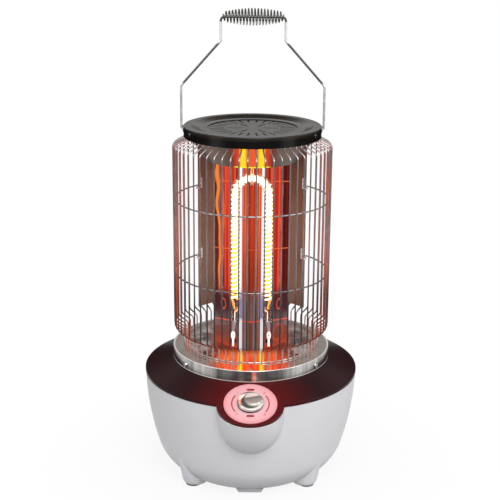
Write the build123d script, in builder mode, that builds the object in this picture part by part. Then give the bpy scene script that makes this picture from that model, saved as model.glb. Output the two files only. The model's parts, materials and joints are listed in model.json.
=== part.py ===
from build123d import *
from math import acos, asin, atan2, cos, degrees, pi, radians, sin, sqrt, tan
import os

os.makedirs("parts", exist_ok=True)

# All sizes are in millimetres; heights are above the floor, radii about the guard's axis.
# The front is -Y, and an angle round the axis starts at the front and grows towards +X.

# Clearances
seat_gap = 0.05
fit_gap = 0.3
running_gap = 0.05
overrun = 2.0
cut_reach = 30.0

# Base shell, a bowl with a pouch at the front
shell_radius = 141.5
shell_rim_height = 139.5
shell_wall = 2.8
belly_inset = 5.6
belly_height_share = 0.60215
hip_inset = 15.8
hip_height_share = 0.30108
sole_inset = 44.5
sole_height = 6.0
sole_opening_inset = 29.0
dial_inset = 4.0
dial_rise = 1.64
pouch_half_width = 42.4
pouch_half_length = 36.8
pouch_depth = 77.0

# Moulded feet and their rubber pads
foot_angles = (47.0, 133.0, 227.0, 313.0)
foot_bulb_radius = 15.5
foot_bulb_inset = 38.5
foot_bulb_height = 10.0
foot_tip_inset = 16.5
foot_tip_height = 47.0
pad_radius = 10.0
pad_thickness = 3.0

# Screw columns between shell and top cover
column_angles = (40.0, 140.0, 220.0, 320.0)
column_inset = 14.5
column_radius = 5.0
column_rib_width = 4.0
column_drop = 39.5
column_gap_drop = 6.7
cover_boss_radius = 4.5

# Bottom cover
bottom_cover_lap = 8.0
bottom_cover_thickness = 2.5
bottom_screw_lap = 4.0
bottom_screw_count = 4
bottom_vent_count = 9
bottom_vent_length = 70.0
bottom_vent_width = 3.0
bottom_vent_spacing = 8.0

# Top cover with its tongue for the dial
cover_overhang = 0.5
cover_edge_rise = 4.5
cover_wall = 2.5
cover_edge_round = 1.2
cover_opening_inset = 34.2
skirt_depth = 6.5
skirt_wall = 2.5
upstand_wall = 3.0
tongue_sink = 0.8
tongue_thickness = 4.5

# Dial plate, knob and rotary switch
dial_radius = 33.5
dial_gap = 0.5
dial_sink = 1.2
dial_thickness = 1.8
dial_opening_radius = 7.6
knob_gap = 0.8
knob_radius = 15.7
knob_disc_height = 3.0
knob_height = 6.4
knob_top_radius = 12.5
knob_top_shift = 5.0
knob_round = 0.9
knob_hollow_radius = 9.0
knob_hollow_depth = 1.6
beak_inset = 13.0
beak_drop = 3.0
beak_depth = 2.6
shaft_radius = 3.0
shaft_length = 20.0
shaft_grip = 3.4
switch_width = 24.0
switch_depth = 17.0
switch_pin_count = 4
switch_pin_width = 1.0
switch_pin_length = 6.0
bush_radius = 4.5
nut_radius = 6.8
nut_height = 2.4

# Base tray
tray_inset = 37.8
tray_rise = 15.0
tray_sheet = 1.0
tray_hem = 2.0
hem_share = 0.4
tray_floor_drop = 3.5
tray_screw_angles = (54.0, 126.0, 234.0, 306.0)

# Guard wires and rings
wire_radius = 1.0
wire_count = 60
guard_inset = 2.2
guard_foot_inset = 12.7
guard_head_inset = 17.0
guard_rise = 289.5
shoulder_top_drop = 14.0
shoulder_drop = 24.0
waist_rise = 36.0
waist_foot_rise = 26.5
wire_bend = 4.5
mid_ring_rises = (105.5, 203.8)
base_ring_rises = (5.0, 8.0)
top_ring_drop = 2.0

# Clips that hold the guard to the tray
clip_width = 28.0
clip_sheet = 0.8
clip_past = 9.7
clip_screw_past = 5.7
finger_width = 4.0
finger_reach = 3.0

# Rear shield, its posts, tabs and rivets
shield_inset = 12.0
shield_sheet = 0.6
shield_start = 126.0
shield_bottom_rise = 34.0
shield_top_drop = 24.5
post_radius = 2.0
post_offset = 45.0
post_rises = (69.0, 229.0)
tab_width = 10.0
tab_sheet = 1.2
tab_bow = 0.4
ring_lap_angle = 6.0
rivet_radius = 1.8
rivet_height = 1.0

# Reflector, folded, behind the lamp
reflector_sheet = 0.6
bead_half_width = 2.0
bead_depth = 1.6
reflector_front = -18.5
fold_offset = 26.0
fold_setback = 5.5
wing_offset = 50.0
wing_y = 15.0
return_width = 10.0
reflector_tab_width = 16.0
reflector_tab_depth = 10.0
slot_width = 8.8
slot_height = 2.5
slot_rise = 8.0
wing_lap = 1.4
fold_lap = 0.25

# Heat deflector
deflector_inset = 20.5
deflector_drop = 33.5
deflector_sheet = 0.6
deflector_head_inset = 4.5
deflector_head_drop = 4.5
cone_share = 1.3

# Top frame and cap
frame_sheet = 1.2
frame_opening_inset = 20.7
frame_overlap = 1.7
frame_flange = 1.1
frame_flange_height = 7.0
cap_overlap = 1.5
cap_rise = 9.8
cap_skirt = 13.8
cap_sheet = 1.2
cap_edge_round = 1.4
cap_annulus_inset = 10.2
cap_dish_inset = 10.0
cap_dish_depth = 3.0
grille_inset = 10.0
grille_drop = 1.0
outer_slot_count = 28
outer_slot_length_share = 0.3362
outer_slot_inset = 2.0
inner_slot_count = 6
inner_slot_inner_share = 0.2069
inner_slot_inset_share = 0.0603
vent_width = 2.2
cap_screw_angles = (63.0, 117.0, 243.0, 297.0)
cap_screw_rise = 3.7

# Handle
bail_radius = 1.5
bail_clearance = 2.6
pivot_rise = 4.5
bail_elbow_rise = 55.0
bail_neck_half_width = 40.6
bail_neck_rise = 111.5
grip_rise = 141.0
bail_bend = 5.0
bail_end_inset = 5.2
bushing_radius = 3.0
bushing_head_radius = 4.5
bushing_head = 0.75
bushing_inset = 4.0
retainer_thickness = 1.0
retainer_radius = 2.9
grip_turns = 19
grip_length = 76.0
grip_wire_radius = 0.8
grip_radius = 10.2
grip_end_radius = 5.2
grip_close_radius = 2.6
grip_close_turns = 1.0
grip_swell_power = 0.8

# Lamp
lamp_half_gap = 21.5
lamp_y = -28.0
lamp_radius = 6.8
lamp_wall = 1.0
lamp_arch_drop = 41.4
lamp_foot_rise = 43.0
filament_wire_radius = 0.85
filament_radius = 3.9
filament_pitch = 5.7
filament_foot_rise = 22.0
lead_radius = 0.6
lead_drop = 3.0
seal_height = 6.0
terminal_width = 6.1
terminal_sheet = 0.8
terminal_neck_rise = 19.0
terminal_hole_radius = 1.6
terminal_hole_rise = 25.0
stem_width = 3.7
stem_shift = 1.5
stem_bend = 5.0
stem_end_y = 0.0
hook_wire_radius = 0.6
hook_half_gap = 1.35
hook_bend = 2.0
hook_turn = 1.3
hook_length = 12.0

# Lamp sockets and their grommets
socket_width = 13.5
socket_front = -6.5
socket_depth = 14.0
socket_height = 15.0
socket_round = 1.5
pocket_width = 5.0
pocket_height = 1.8
grommet_radius = 5.0
grommet_flange = 6.5
grommet_bore = 1.8
grommet_lip = 1.2

# Tip-over safety foot, its spring, switch and bracket
tip_toe = 10.0
tip_depth = 16.0
tip_bottom_width = 30.0
tip_top_width = 36.0
tip_block_height = 5.6
tip_stem_inset = 11.0
tip_stem_radius = 5.0
tip_guide_radius = 8.0
tip_guide_height = 7.0
tip_collar_radius = 7.2
tip_collar_height = 2.5
tip_collar_gap = 5.0
tip_pin_radius = 2.2
tip_spring_turns = 6
tip_spring_radius = 4.6
tip_spring_wire = 0.4
tip_spring_share = 0.1362
tip_switch_width = 28.0
tip_switch_depth = 10.0
tip_switch_share = 0.1147
tip_bracket_sheet = 1.2

# Electrics held in the base
cutout_radius = 8.0
cutout_height = 8.0
cutout_y = 38.0
cutout_ear = 14.0
cutout_ear_width = 8.0
cutout_ear_sheet = 1.0
block_width = 46.0
block_depth = 18.0
block_height = 16.0
block_y = 22.0
block_way_count = 4
block_way_spacing = 11.0
block_way_radius = 3.2
lead_wire_radius = 1.25
lead_bend = 12.0
supply_lead_x = 6.0
gland_radius = 6.4
gland_flange_radius = 10.0
gland_flange = 3.0
gland_length = 12.0
gland_bore = 3.6
gland_nut_height = 4.0
gland_nut_gap = 0.8
gland_stand = 0.5

# Screws, each with its head radius, head height and shank radius
small_screw = (2.8, 1.6, 1.4)
tray_screw = (3.4, 1.8, 1.6)
screw_length = 6.0
cross_share = 0.62
cross_width_share = 0.16

# Base: reaches from the shell's radius, heights from its rim
belly_radius = shell_radius - belly_inset
belly_height = shell_rim_height * belly_height_share
hip_radius = shell_radius - hip_inset
hip_height = shell_rim_height * hip_height_share
sole_radius = shell_radius - sole_inset
sole_opening_radius = sole_radius - sole_opening_inset
bottom_cover_radius = sole_opening_radius + bottom_cover_lap
bottom_screw_reach = sole_opening_radius + bottom_screw_lap
foot_bulb_reach = shell_radius - foot_bulb_inset
foot_tip_reach = shell_radius - foot_tip_inset
column_reach = shell_radius - column_inset
column_foot_height = shell_rim_height - column_drop
column_gap_height = shell_rim_height - column_gap_drop
tip_stem_y = tip_stem_inset - sole_radius
tip_front = tip_stem_y - tip_toe
cover_radius = shell_radius + cover_overhang
cover_edge_height = shell_rim_height + cover_edge_rise
dial_reach = cover_radius - dial_inset
dial_height = cover_edge_height + dial_rise

# Slope of the cover and the dial, and the guard's axis
slope = degrees(atan2(dial_rise, dial_inset))
front_reach = dial_reach + pouch_half_length * cos(radians(slope))
axis_y = (front_reach - cover_radius) / 2
cover_deck_height = cover_edge_height + tray_inset * tan(radians(slope))

# Tray and guard: reaches from the cover's edge, heights from the tray's floor
tray_radius = cover_radius - tray_inset
tray_height = cover_deck_height + tray_rise
tray_floor_height = tray_height - tray_floor_drop
cover_opening_radius = tray_radius - cover_opening_inset
guard_radius = tray_radius - guard_inset
guard_foot_radius = guard_radius - guard_foot_inset
guard_head_radius = guard_radius - guard_head_inset
frame_bottom = tray_floor_height + guard_rise
guard_top_height = frame_bottom - seat_gap
shoulder_top_height = frame_bottom - shoulder_top_drop
shoulder_height = frame_bottom - shoulder_drop
waist_height = tray_floor_height + waist_rise
waist_foot_height = tray_floor_height + waist_foot_rise
mid_ring_heights = [tray_floor_height + rise for rise in mid_ring_rises]
base_ring_heights = [tray_floor_height + rise for rise in base_ring_rises]
top_ring_height = frame_bottom - top_ring_drop
clip_reach = guard_foot_radius + clip_past
clip_screw_reach = guard_foot_radius + clip_screw_past
shield_radius = guard_radius - shield_inset
shield_bottom = tray_floor_height + shield_bottom_rise
shield_top = frame_bottom - shield_top_drop
post_heights = [tray_floor_height + rise for rise in post_rises]
slot_level = tray_floor_height + slot_rise
tip_spring_length = shell_rim_height * tip_spring_share
tip_switch_height = shell_rim_height * tip_switch_share

# Head: frame, cap, deflector and handle
deflector_head_radius = guard_head_radius - deflector_head_inset
deflector_radius = deflector_head_radius - deflector_inset
deflector_height = frame_bottom - deflector_drop
deflector_head_height = frame_bottom - deflector_head_drop
frame_radius = guard_head_radius + frame_overlap
frame_opening_radius = frame_radius - frame_opening_inset
cap_radius = frame_radius + cap_overlap
cap_top = frame_bottom + cap_rise
cap_annulus_radius = cap_radius - cap_annulus_inset
cap_dish_radius = cap_annulus_radius - cap_dish_inset
grille_radius = cap_dish_radius - grille_inset
outer_slot_outer = grille_radius - outer_slot_inset
outer_slot_inner = outer_slot_outer - grille_radius * outer_slot_length_share
inner_slot_outer = outer_slot_inner - grille_radius * inner_slot_inset_share
inner_slot_inner = grille_radius * inner_slot_inner_share
cap_screw_height = frame_bottom + cap_screw_rise
pivot_height = frame_bottom + pivot_rise
bail_half_width = cap_radius + bail_clearance
bail_end = cap_radius - bail_end_inset
bail_elbow_height = pivot_height + bail_elbow_rise
bail_neck_height = pivot_height + bail_neck_rise
grip_height = pivot_height + grip_rise

# Lamp: its arch hangs under the deflector, its feet stand over the tray
lamp_arch_height = deflector_height - lamp_arch_drop
lamp_foot_height = tray_floor_height + lamp_foot_rise
filament_foot_height = lamp_foot_height + filament_foot_rise
terminal_neck_height = tray_floor_height + terminal_neck_rise
terminal_hole_height = tray_floor_height + terminal_hole_rise

# Planes and axes
spine = Axis((0, axis_y, 0), (0, 0, 1))
dial_normal = Vector(0, -sin(radians(slope)), cos(radians(slope)))
dial_plane = Plane(
    origin=(0, axis_y - dial_reach, dial_height), x_dir=(1, 0, 0), z_dir=dial_normal
)


def level(height):
    """A horizontal plane at a height, centred on the guard's axis."""
    return Plane(origin=(0, axis_y, height))


def radial(angle):
    """The half section plane at an angle: x runs outwards, y runs up."""
    turn = radians(angle)
    return Plane(
        origin=(0, axis_y, 0),
        x_dir=(sin(turn), -cos(turn), 0),
        z_dir=(-cos(turn), -sin(turn), 0),
    )


def facing_out(angle, reach, height):
    """A plane that looks outwards, for a screw or hole in an upright wall."""
    turn = radians(angle)
    return Plane(
        origin=(reach * sin(turn), axis_y - reach * cos(turn), height),
        x_dir=(cos(turn), sin(turn), 0),
        z_dir=(sin(turn), -cos(turn), 0),
    )


def around(angle, reach, height):
    """A point at an angle and reach from the axis."""
    turn = radians(angle)
    return Vector(reach * sin(turn), axis_y - reach * cos(turn), height)


def upright(depth):
    """The plane that looks to the front at a depth behind the axis: x right, y up."""
    return Plane(origin=(0, axis_y + depth, 0), x_dir=(1, 0, 0), z_dir=(0, -1, 0))


meridian = radial(90)


def screws_at(places, size, length):
    """Cross-headed screws: each place is the plane of the head's underside."""
    head_radius, head_height, shank_radius = size
    with BuildPart() as screws:
        for place in places:
            with BuildSketch(place):
                Circle(head_radius)
            extrude(amount=head_height, taper=18)
            with BuildSketch(place):
                Circle(shank_radius)
            extrude(amount=-length)
            with BuildSketch(place.offset(head_height)):
                Rectangle(2 * head_radius * cross_share, 2 * head_radius * cross_width_share)
                Rectangle(2 * head_radius * cross_width_share, 2 * head_radius * cross_share)
            extrude(amount=-head_height / 2, mode=Mode.SUBTRACT)
    return screws.part


def biarc(start, start_way, end, end_way):
    """Two arcs that leave start along start_way and reach end along end_way."""
    span = end - start
    both = start_way + end_way
    spread = 2 * (1 - start_way.dot(end_way))
    reach = (-span.dot(both) + sqrt(span.dot(both) ** 2 + spread * span.dot(span))) / spread
    middle = (start + end + (start_way - end_way) * reach) * 0.5
    first = TangentArc(start, middle, tangent=start_way, mode=Mode.PRIVATE)
    second = TangentArc(middle, end, tangent=first % 1, mode=Mode.PRIVATE)
    return [first, second]


def coil_edges(point_at, turns, arcs_per_turn):
    """The arcs of a coil whose centre line is point_at(turn)."""
    nudge = 0.0005
    stops = [turn / arcs_per_turn for turn in range(round(turns * arcs_per_turn) + 1)]
    points = [point_at(stop) for stop in stops]
    ways = [(point_at(stop + nudge) - point_at(stop - nudge)).normalized() for stop in stops]
    edges = []
    for index in range(len(stops) - 1):
        edges += biarc(points[index], ways[index], points[index + 1], ways[index + 1])
    return edges


def least_gap(point_at, turns, thickness):
    """The least gap between a coil's neighbouring turns, measured on points."""
    steps = 36
    points = [point_at(step / steps) for step in range(round(turns * steps) + 1)]
    gap = None
    for index, point in enumerate(points):
        for other in points[index + steps * 2 // 3 : index + steps * 5 // 3]:
            apart = (point - other).length - thickness
            gap = apart if gap is None else min(gap, apart)
    return gap


# Values worked out from the sizes above
reflector_top = deflector_height - seat_gap
terminal_x = lamp_half_gap
socket_x = terminal_x + stem_shift
socket_mid_y = socket_front + socket_depth / 2
tab_screw_y = reflector_front + reflector_tab_depth / 2
clip_wall_reach = guard_foot_radius + wire_radius + seat_gap
finger_top = (base_ring_heights[0] + base_ring_heights[1] + clip_sheet) / 2
tab_angle = shield_start + ring_lap_angle / 2
hook_y = lamp_y - lamp_radius - hook_wire_radius - fit_gap
bail_bends = [bail_radius + fit_gap, *[bail_bend] * 6, bail_radius + fit_gap]


def column_ring(count):
    """The angles of a ring of screws, half a step round from the front."""
    return [360 * (index + 0.5) / count for index in range(count)]


# Outline of the bowl, from the rim down to the sole
with BuildLine(meridian) as bowl_line:
    bowl_side = ThreePointArc(
        (shell_radius, shell_rim_height), (belly_radius, belly_height), (hip_radius, hip_height)
    )
hip_way = bowl_side % 1
hip_tilt = degrees(atan2(-hip_way.X, -hip_way.Z))

# Outer form of the pouch under the dial: half of an ellipsoid
with BuildPart() as outer_ellipsoid:
    Sphere(pouch_half_width)
    scale(by=(1, pouch_half_length / pouch_half_width, pouch_depth / pouch_half_width))
with BuildPart() as pouch_form:
    with Locations(dial_plane):
        add(outer_ellipsoid.part)
    split(bisect_by=dial_plane.offset(-tongue_thickness), keep=Keep.BOTTOM)

# Hollow of the pouch, a wall's thickness inside it
void_half_width = pouch_half_width - shell_wall
void_half_length = pouch_half_length - shell_wall
with BuildPart() as inner_ellipsoid:
    Sphere(void_half_width)
    scale(by=(1, void_half_length / void_half_width, (pouch_depth - shell_wall) / void_half_width))
with BuildPart() as pouch_void:
    with Locations(dial_plane):
        add(inner_ellipsoid.part)
    split(bisect_by=dial_plane.offset(overrun), keep=Keep.BOTTOM)

# Hollow inside the shell, with the columns and the foot's guide left standing
with BuildPart() as shell_void:
    with BuildSketch(meridian):
        with BuildLine():
            inner_side = ThreePointArc(
                (shell_radius - shell_wall, shell_rim_height),
                (belly_radius - shell_wall, belly_height),
                (hip_radius - shell_wall, hip_height),
            )
            inner_hip = TangentArc(
                (hip_radius - shell_wall, hip_height),
                (sole_radius - shell_wall, sole_height + shell_wall),
                tangent=inner_side % 1,
            )
            Polyline(
                (sole_radius - shell_wall, sole_height + shell_wall),
                (0, sole_height + shell_wall),
                (0, shell_rim_height + overrun),
                (shell_radius - shell_wall, shell_rim_height + overrun),
                (shell_radius - shell_wall, shell_rim_height),
            )
        make_face()
    revolve(axis=spine)
    add(pouch_void.part)
    for angle in column_angles:
        with BuildSketch(level(column_foot_height)):
            with Locations(around(angle, column_reach, 0) - Vector(0, axis_y, 0)):
                Circle(column_radius)
            with Locations(around(angle, (column_reach + shell_radius) / 2, 0) - Vector(0, axis_y, 0)):
                Rectangle(column_rib_width, shell_radius - column_reach, rotation=angle)
        extrude(amount=column_gap_height - column_foot_height, mode=Mode.SUBTRACT)
    with BuildSketch(level(sole_height)):
        with Locations((0, tip_stem_y)):
            Circle(tip_guide_radius)
    extrude(amount=shell_wall + tip_guide_height, mode=Mode.SUBTRACT)

# Base shell
with BuildPart() as base_shell:
    with BuildSketch(meridian):
        with BuildLine():
            outer_side = ThreePointArc(
                (shell_radius, shell_rim_height), (belly_radius, belly_height), (hip_radius, hip_height)
            )
            outer_hip = TangentArc(
                (hip_radius, hip_height), (sole_radius, sole_height), tangent=outer_side % 1
            )
            Polyline(
                (sole_radius, sole_height),
                (0, sole_height),
                (0, shell_rim_height),
                (shell_radius, shell_rim_height),
            )
        make_face()
    revolve(axis=spine)
    add(pouch_form.part)
    split(bisect_by=Plane.XY.offset(shell_rim_height), keep=Keep.BOTTOM)
    tip_way = Vector(foot_tip_reach - foot_bulb_reach, foot_tip_height - foot_bulb_height)
    foot_length = tip_way.length
    touch = acos(foot_bulb_radius / foot_length)
    for angle in foot_angles:
        turn = radians(angle)
        foot_x = Vector(
            sin(turn) * tip_way.X / foot_length,
            -cos(turn) * tip_way.X / foot_length,
            tip_way.Y / foot_length,
        )
        foot_plane = Plane(
            origin=around(angle, foot_bulb_reach, foot_bulb_height),
            x_dir=foot_x,
            z_dir=(cos(turn), sin(turn), 0),
        )
        with BuildSketch(foot_plane):
            with BuildLine():
                shoulder = (foot_bulb_radius * cos(touch), foot_bulb_radius * sin(touch))
                ThreePointArc(
                    (-foot_bulb_radius, 0),
                    (
                        foot_bulb_radius * cos((touch + pi) / 2),
                        foot_bulb_radius * sin((touch + pi) / 2),
                    ),
                    shoulder,
                )
                Polyline(shoulder, (foot_length, 0), (-foot_bulb_radius, 0))
            make_face()
        revolve(axis=Axis(foot_plane.origin, foot_x))
    split(bisect_by=Plane.XY.offset(pad_thickness), keep=Keep.TOP)
    add(shell_void.part, mode=Mode.SUBTRACT)
    with BuildSketch(level(sole_height - overrun)):
        Circle(sole_opening_radius)
        with Locations((0, tip_stem_y)):
            Circle(tip_stem_radius + running_gap)
        with PolarLocations(bottom_screw_reach, bottom_screw_count, start_angle=45):
            Circle(small_screw[2] + fit_gap)
    extrude(amount=shell_wall + tip_guide_height + 2 * overrun, mode=Mode.SUBTRACT)
    for angle in column_angles:
        with BuildSketch(level(column_foot_height - overrun)):
            with Locations(around(angle, column_reach, 0) - Vector(0, axis_y, 0)):
                Circle(tray_screw[2] + fit_gap)
        extrude(amount=column_gap_height - column_foot_height + 2 * overrun, mode=Mode.SUBTRACT)
    gland_plane = Plane(
        origin=(0, axis_y + hip_radius, hip_height),
        x_dir=(1, 0, 0),
        z_dir=(0, cos(radians(hip_tilt)), -sin(radians(hip_tilt))),
    )
    with BuildSketch(gland_plane.offset(overrun)):
        Circle(gland_radius + seat_gap)
    extrude(amount=-shell_wall - 2 * overrun, mode=Mode.SUBTRACT)
base_shell.part.label = "base_shell"
export_step(base_shell.part, "parts/base_shell.step")

# Rubber pads under the feet
with BuildPart() as foot_pads:
    for angle in foot_angles:
        with BuildSketch(level(0)):
            with Locations(around(angle, foot_bulb_reach, 0) - Vector(0, axis_y, 0)):
                Circle(pad_radius)
        extrude(amount=pad_thickness - seat_gap)
foot_pads.part.label = "foot_pads"
export_step(foot_pads.part, "parts/foot_pads.step")

# Bottom cover, laid on the sole from inside
bottom_cover_seat = sole_height + shell_wall + seat_gap
with BuildPart() as bottom_cover:
    with BuildSketch(level(bottom_cover_seat)):
        Circle(bottom_cover_radius)
        with GridLocations(0, bottom_vent_spacing, 1, bottom_vent_count):
            SlotOverall(bottom_vent_length, bottom_vent_width, mode=Mode.SUBTRACT)
        with PolarLocations(bottom_screw_reach, bottom_screw_count, start_angle=45):
            Circle(small_screw[2] + seat_gap, mode=Mode.SUBTRACT)
    extrude(amount=bottom_cover_thickness)
bottom_cover.part.label = "bottom_cover"
export_step(bottom_cover.part, "parts/bottom_cover.step")

# Screws of the bottom cover, driven from below
bottom_screw_places = [
    Plane(origin=around(angle, bottom_screw_reach, sole_height - seat_gap), z_dir=(0, 0, -1))
    for angle in column_ring(bottom_screw_count)
]
with BuildPart() as bottom_screws:
    add(screws_at(bottom_screw_places, small_screw, screw_length))
bottom_screws.part.label = "bottom_screws"
export_step(bottom_screws.part, "parts/bottom_screws.step")

# Top cover: a sloping ring with a locating skirt, an upstand for the tray and a tongue
with BuildPart() as tongue_rim:
    with BuildSketch(dial_plane.offset(-tongue_sink)):
        Ellipse(pouch_half_width, pouch_half_length)
        Ellipse(
            pouch_half_width - shell_wall, pouch_half_length - shell_wall, mode=Mode.SUBTRACT
        )
    extrude(amount=-pouch_depth / 2)
    split(bisect_by=Plane.XY.offset(shell_rim_height + seat_gap), keep=Keep.TOP)

with BuildPart() as top_cover:
    with BuildSketch(meridian):
        with Locations((shell_radius - shell_wall - fit_gap, shell_rim_height - skirt_depth)):
            Rectangle(skirt_wall, skirt_depth + seat_gap, align=(Align.MAX, Align.MIN))
    revolve(axis=spine)
    with BuildSketch(dial_plane.offset(overrun)):
        Ellipse(pouch_half_width + fit_gap, pouch_half_length + fit_gap)
    extrude(amount=-pouch_depth / 2, mode=Mode.SUBTRACT)
    with BuildSketch(meridian):
        with BuildLine():
            lip_height = shell_rim_height + seat_gap
            Polyline(
                (cover_radius, lip_height),
                (cover_radius, cover_edge_height),
                (tray_radius, cover_deck_height - seat_gap),
                (cover_opening_radius, cover_deck_height - seat_gap),
                (cover_opening_radius, cover_deck_height - cover_wall),
                (tray_radius - upstand_wall, cover_deck_height - cover_wall),
                (shell_radius - shell_wall - skirt_wall, lip_height),
                (cover_radius, lip_height),
            )
        make_face()
        with Locations((tray_radius - tray_sheet - seat_gap, cover_deck_height - cover_wall)):
            Rectangle(
                upstand_wall,
                tray_floor_height - tray_sheet - seat_gap - cover_deck_height + cover_wall,
                align=(Align.MAX, Align.MIN),
            )
    revolve(axis=spine)
    rim_edges = top_cover.edges().filter_by(GeomType.CIRCLE).group_by(SortBy.RADIUS)[-1]
    fillet(rim_edges.sort_by(Axis.Z)[-1:], cover_edge_round)
    with BuildSketch(dial_plane.offset(cut_reach)):
        Ellipse(pouch_half_width, pouch_half_length)
    extrude(amount=-cut_reach - pouch_depth / 2, mode=Mode.SUBTRACT)
    with BuildSketch(dial_plane.offset(-tongue_thickness)):
        Ellipse(pouch_half_width, pouch_half_length)
    extrude(amount=tongue_thickness - tongue_sink)
    add(tongue_rim.part)
    for angle in column_angles:
        with BuildSketch(level(column_gap_height + seat_gap)):
            with Locations(around(angle, column_reach, 0) - Vector(0, axis_y, 0)):
                Circle(cover_boss_radius)
        extrude(until=Until.NEXT)
        with BuildSketch(level(column_gap_height - overrun)):
            with Locations(around(angle, column_reach, 0) - Vector(0, axis_y, 0)):
                Circle(tray_screw[2] + seat_gap)
        extrude(amount=overrun + screw_length, mode=Mode.SUBTRACT)
    dial_seat = dial_plane.offset(-tongue_sink - dial_sink)
    with BuildSketch(dial_seat):
        Circle(dial_radius + dial_gap)
    extrude(amount=cut_reach, mode=Mode.SUBTRACT)
    with BuildSketch(dial_plane):
        Circle(bush_radius + fit_gap)
    extrude(amount=-cut_reach, mode=Mode.SUBTRACT)
    for angle in tray_screw_angles:
        with BuildSketch(facing_out(angle, tray_radius, (cover_deck_height + tray_floor_height) / 2)):
            Circle(tray_screw[2] + seat_gap)
        extrude(amount=-tray_sheet - upstand_wall - overrun, mode=Mode.SUBTRACT)
top_cover.part.label = "top_cover"
export_step(top_cover.part, "parts/top_cover.step")

# Screws that pull the top cover down, driven from inside the shell
cover_screw_length = column_gap_height - column_foot_height + screw_length - 2 * running_gap
cover_screw_places = [
    Plane(origin=around(angle, column_reach, column_foot_height - seat_gap), z_dir=(0, 0, -1))
    for angle in column_angles
]
with BuildPart() as cover_screws:
    add(screws_at(cover_screw_places, tray_screw, cover_screw_length))
cover_screws.part.label = "cover_screws"
export_step(cover_screws.part, "parts/cover_screws.step")

# Dial plate, let into the tongue
with BuildPart() as dial_plate:
    with BuildSketch(dial_seat.offset(seat_gap)):
        Circle(dial_radius)
        Circle(dial_opening_radius, mode=Mode.SUBTRACT)
    extrude(amount=dial_thickness)
dial_plate.part.label = "dial_plate"
export_step(dial_plate.part, "parts/dial_plate.step")

# Rotary switch under the tongue, with a threaded bush and solder pins
switch_seat = dial_plane.offset(-tongue_thickness - seat_gap)
with BuildPart() as rotary_switch:
    with BuildSketch(switch_seat):
        RectangleRounded(switch_width, switch_width, bush_radius / 2)
    extrude(amount=-switch_depth)
    with BuildSketch(switch_seat):
        Circle(bush_radius)
    extrude(amount=tongue_thickness - tongue_sink - dial_sink + nut_height)
    with BuildSketch(switch_seat.offset(-switch_depth)):
        with GridLocations(switch_width / switch_pin_count, 0, switch_pin_count, 1):
            Rectangle(switch_pin_width, 2 * switch_pin_width)
    extrude(amount=-switch_pin_length)
    with BuildSketch(switch_seat.offset(-shaft_length + tongue_thickness)):
        Circle(shaft_radius + running_gap)
    extrude(amount=shaft_length * 2, mode=Mode.SUBTRACT)
rotary_switch.part.label = "rotary_switch"
export_step(rotary_switch.part, "parts/rotary_switch.step")

# Nut on the switch's bush
with BuildPart() as switch_nut:
    with BuildSketch(dial_seat.offset(seat_gap)):
        RegularPolygon(nut_radius, 6)
        Circle(bush_radius + seat_gap, mode=Mode.SUBTRACT)
    extrude(amount=nut_height)
switch_nut.part.label = "switch_nut"
export_step(switch_nut.part, "parts/switch_nut.step")

# Knob: a round disc that rises to an offset top, with a notch that leaves a beak
dial_face = -tongue_sink - dial_sink + seat_gap + dial_thickness
knob_foot = dial_plane.offset(dial_face + knob_gap)
with BuildPart() as knob:
    with BuildSketch(knob_foot):
        Circle(knob_radius)
    extrude(amount=knob_disc_height)
    with BuildSketch(knob_foot.offset(knob_disc_height)):
        Circle(knob_radius)
    with BuildSketch(knob_foot.offset(knob_height)):
        with Locations((knob_top_shift, 0)):
            Circle(knob_top_radius)
    loft()
    knob_top = knob.faces().sort_by(Axis(dial_plane.origin, dial_normal))[-1]
    fillet(knob_top.edges(), knob_round)
    with BuildSketch(knob_foot.offset(knob_height + overrun)):
        with BuildLine():
            beak_x = knob_top_shift + knob_top_radius + overrun
            Polyline(
                (beak_inset, -beak_drop),
                (beak_x, -beak_drop / 2),
                (beak_x, -knob_radius),
                (beak_inset - beak_drop, -knob_radius),
                (beak_inset, -beak_drop),
            )
        make_face()
    extrude(amount=-overrun - beak_depth, mode=Mode.SUBTRACT)
    with BuildSketch(knob_foot):
        Circle(knob_hollow_radius)
    extrude(amount=knob_hollow_depth, mode=Mode.SUBTRACT)
    with BuildSketch(knob_foot):
        Circle(shaft_radius + seat_gap)
    extrude(amount=shaft_grip + seat_gap, mode=Mode.SUBTRACT)
knob.part.label = "knob"
export_step(knob.part, "parts/knob.step")

# Shaft that carries the knob and turns in the switch
with BuildPart() as knob_shaft:
    with BuildSketch(knob_foot.offset(shaft_grip)):
        Circle(shaft_radius)
    extrude(amount=-shaft_length)
knob_shaft.part.label = "knob_shaft"
export_step(knob_shaft.part, "parts/knob_shaft.step")

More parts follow.
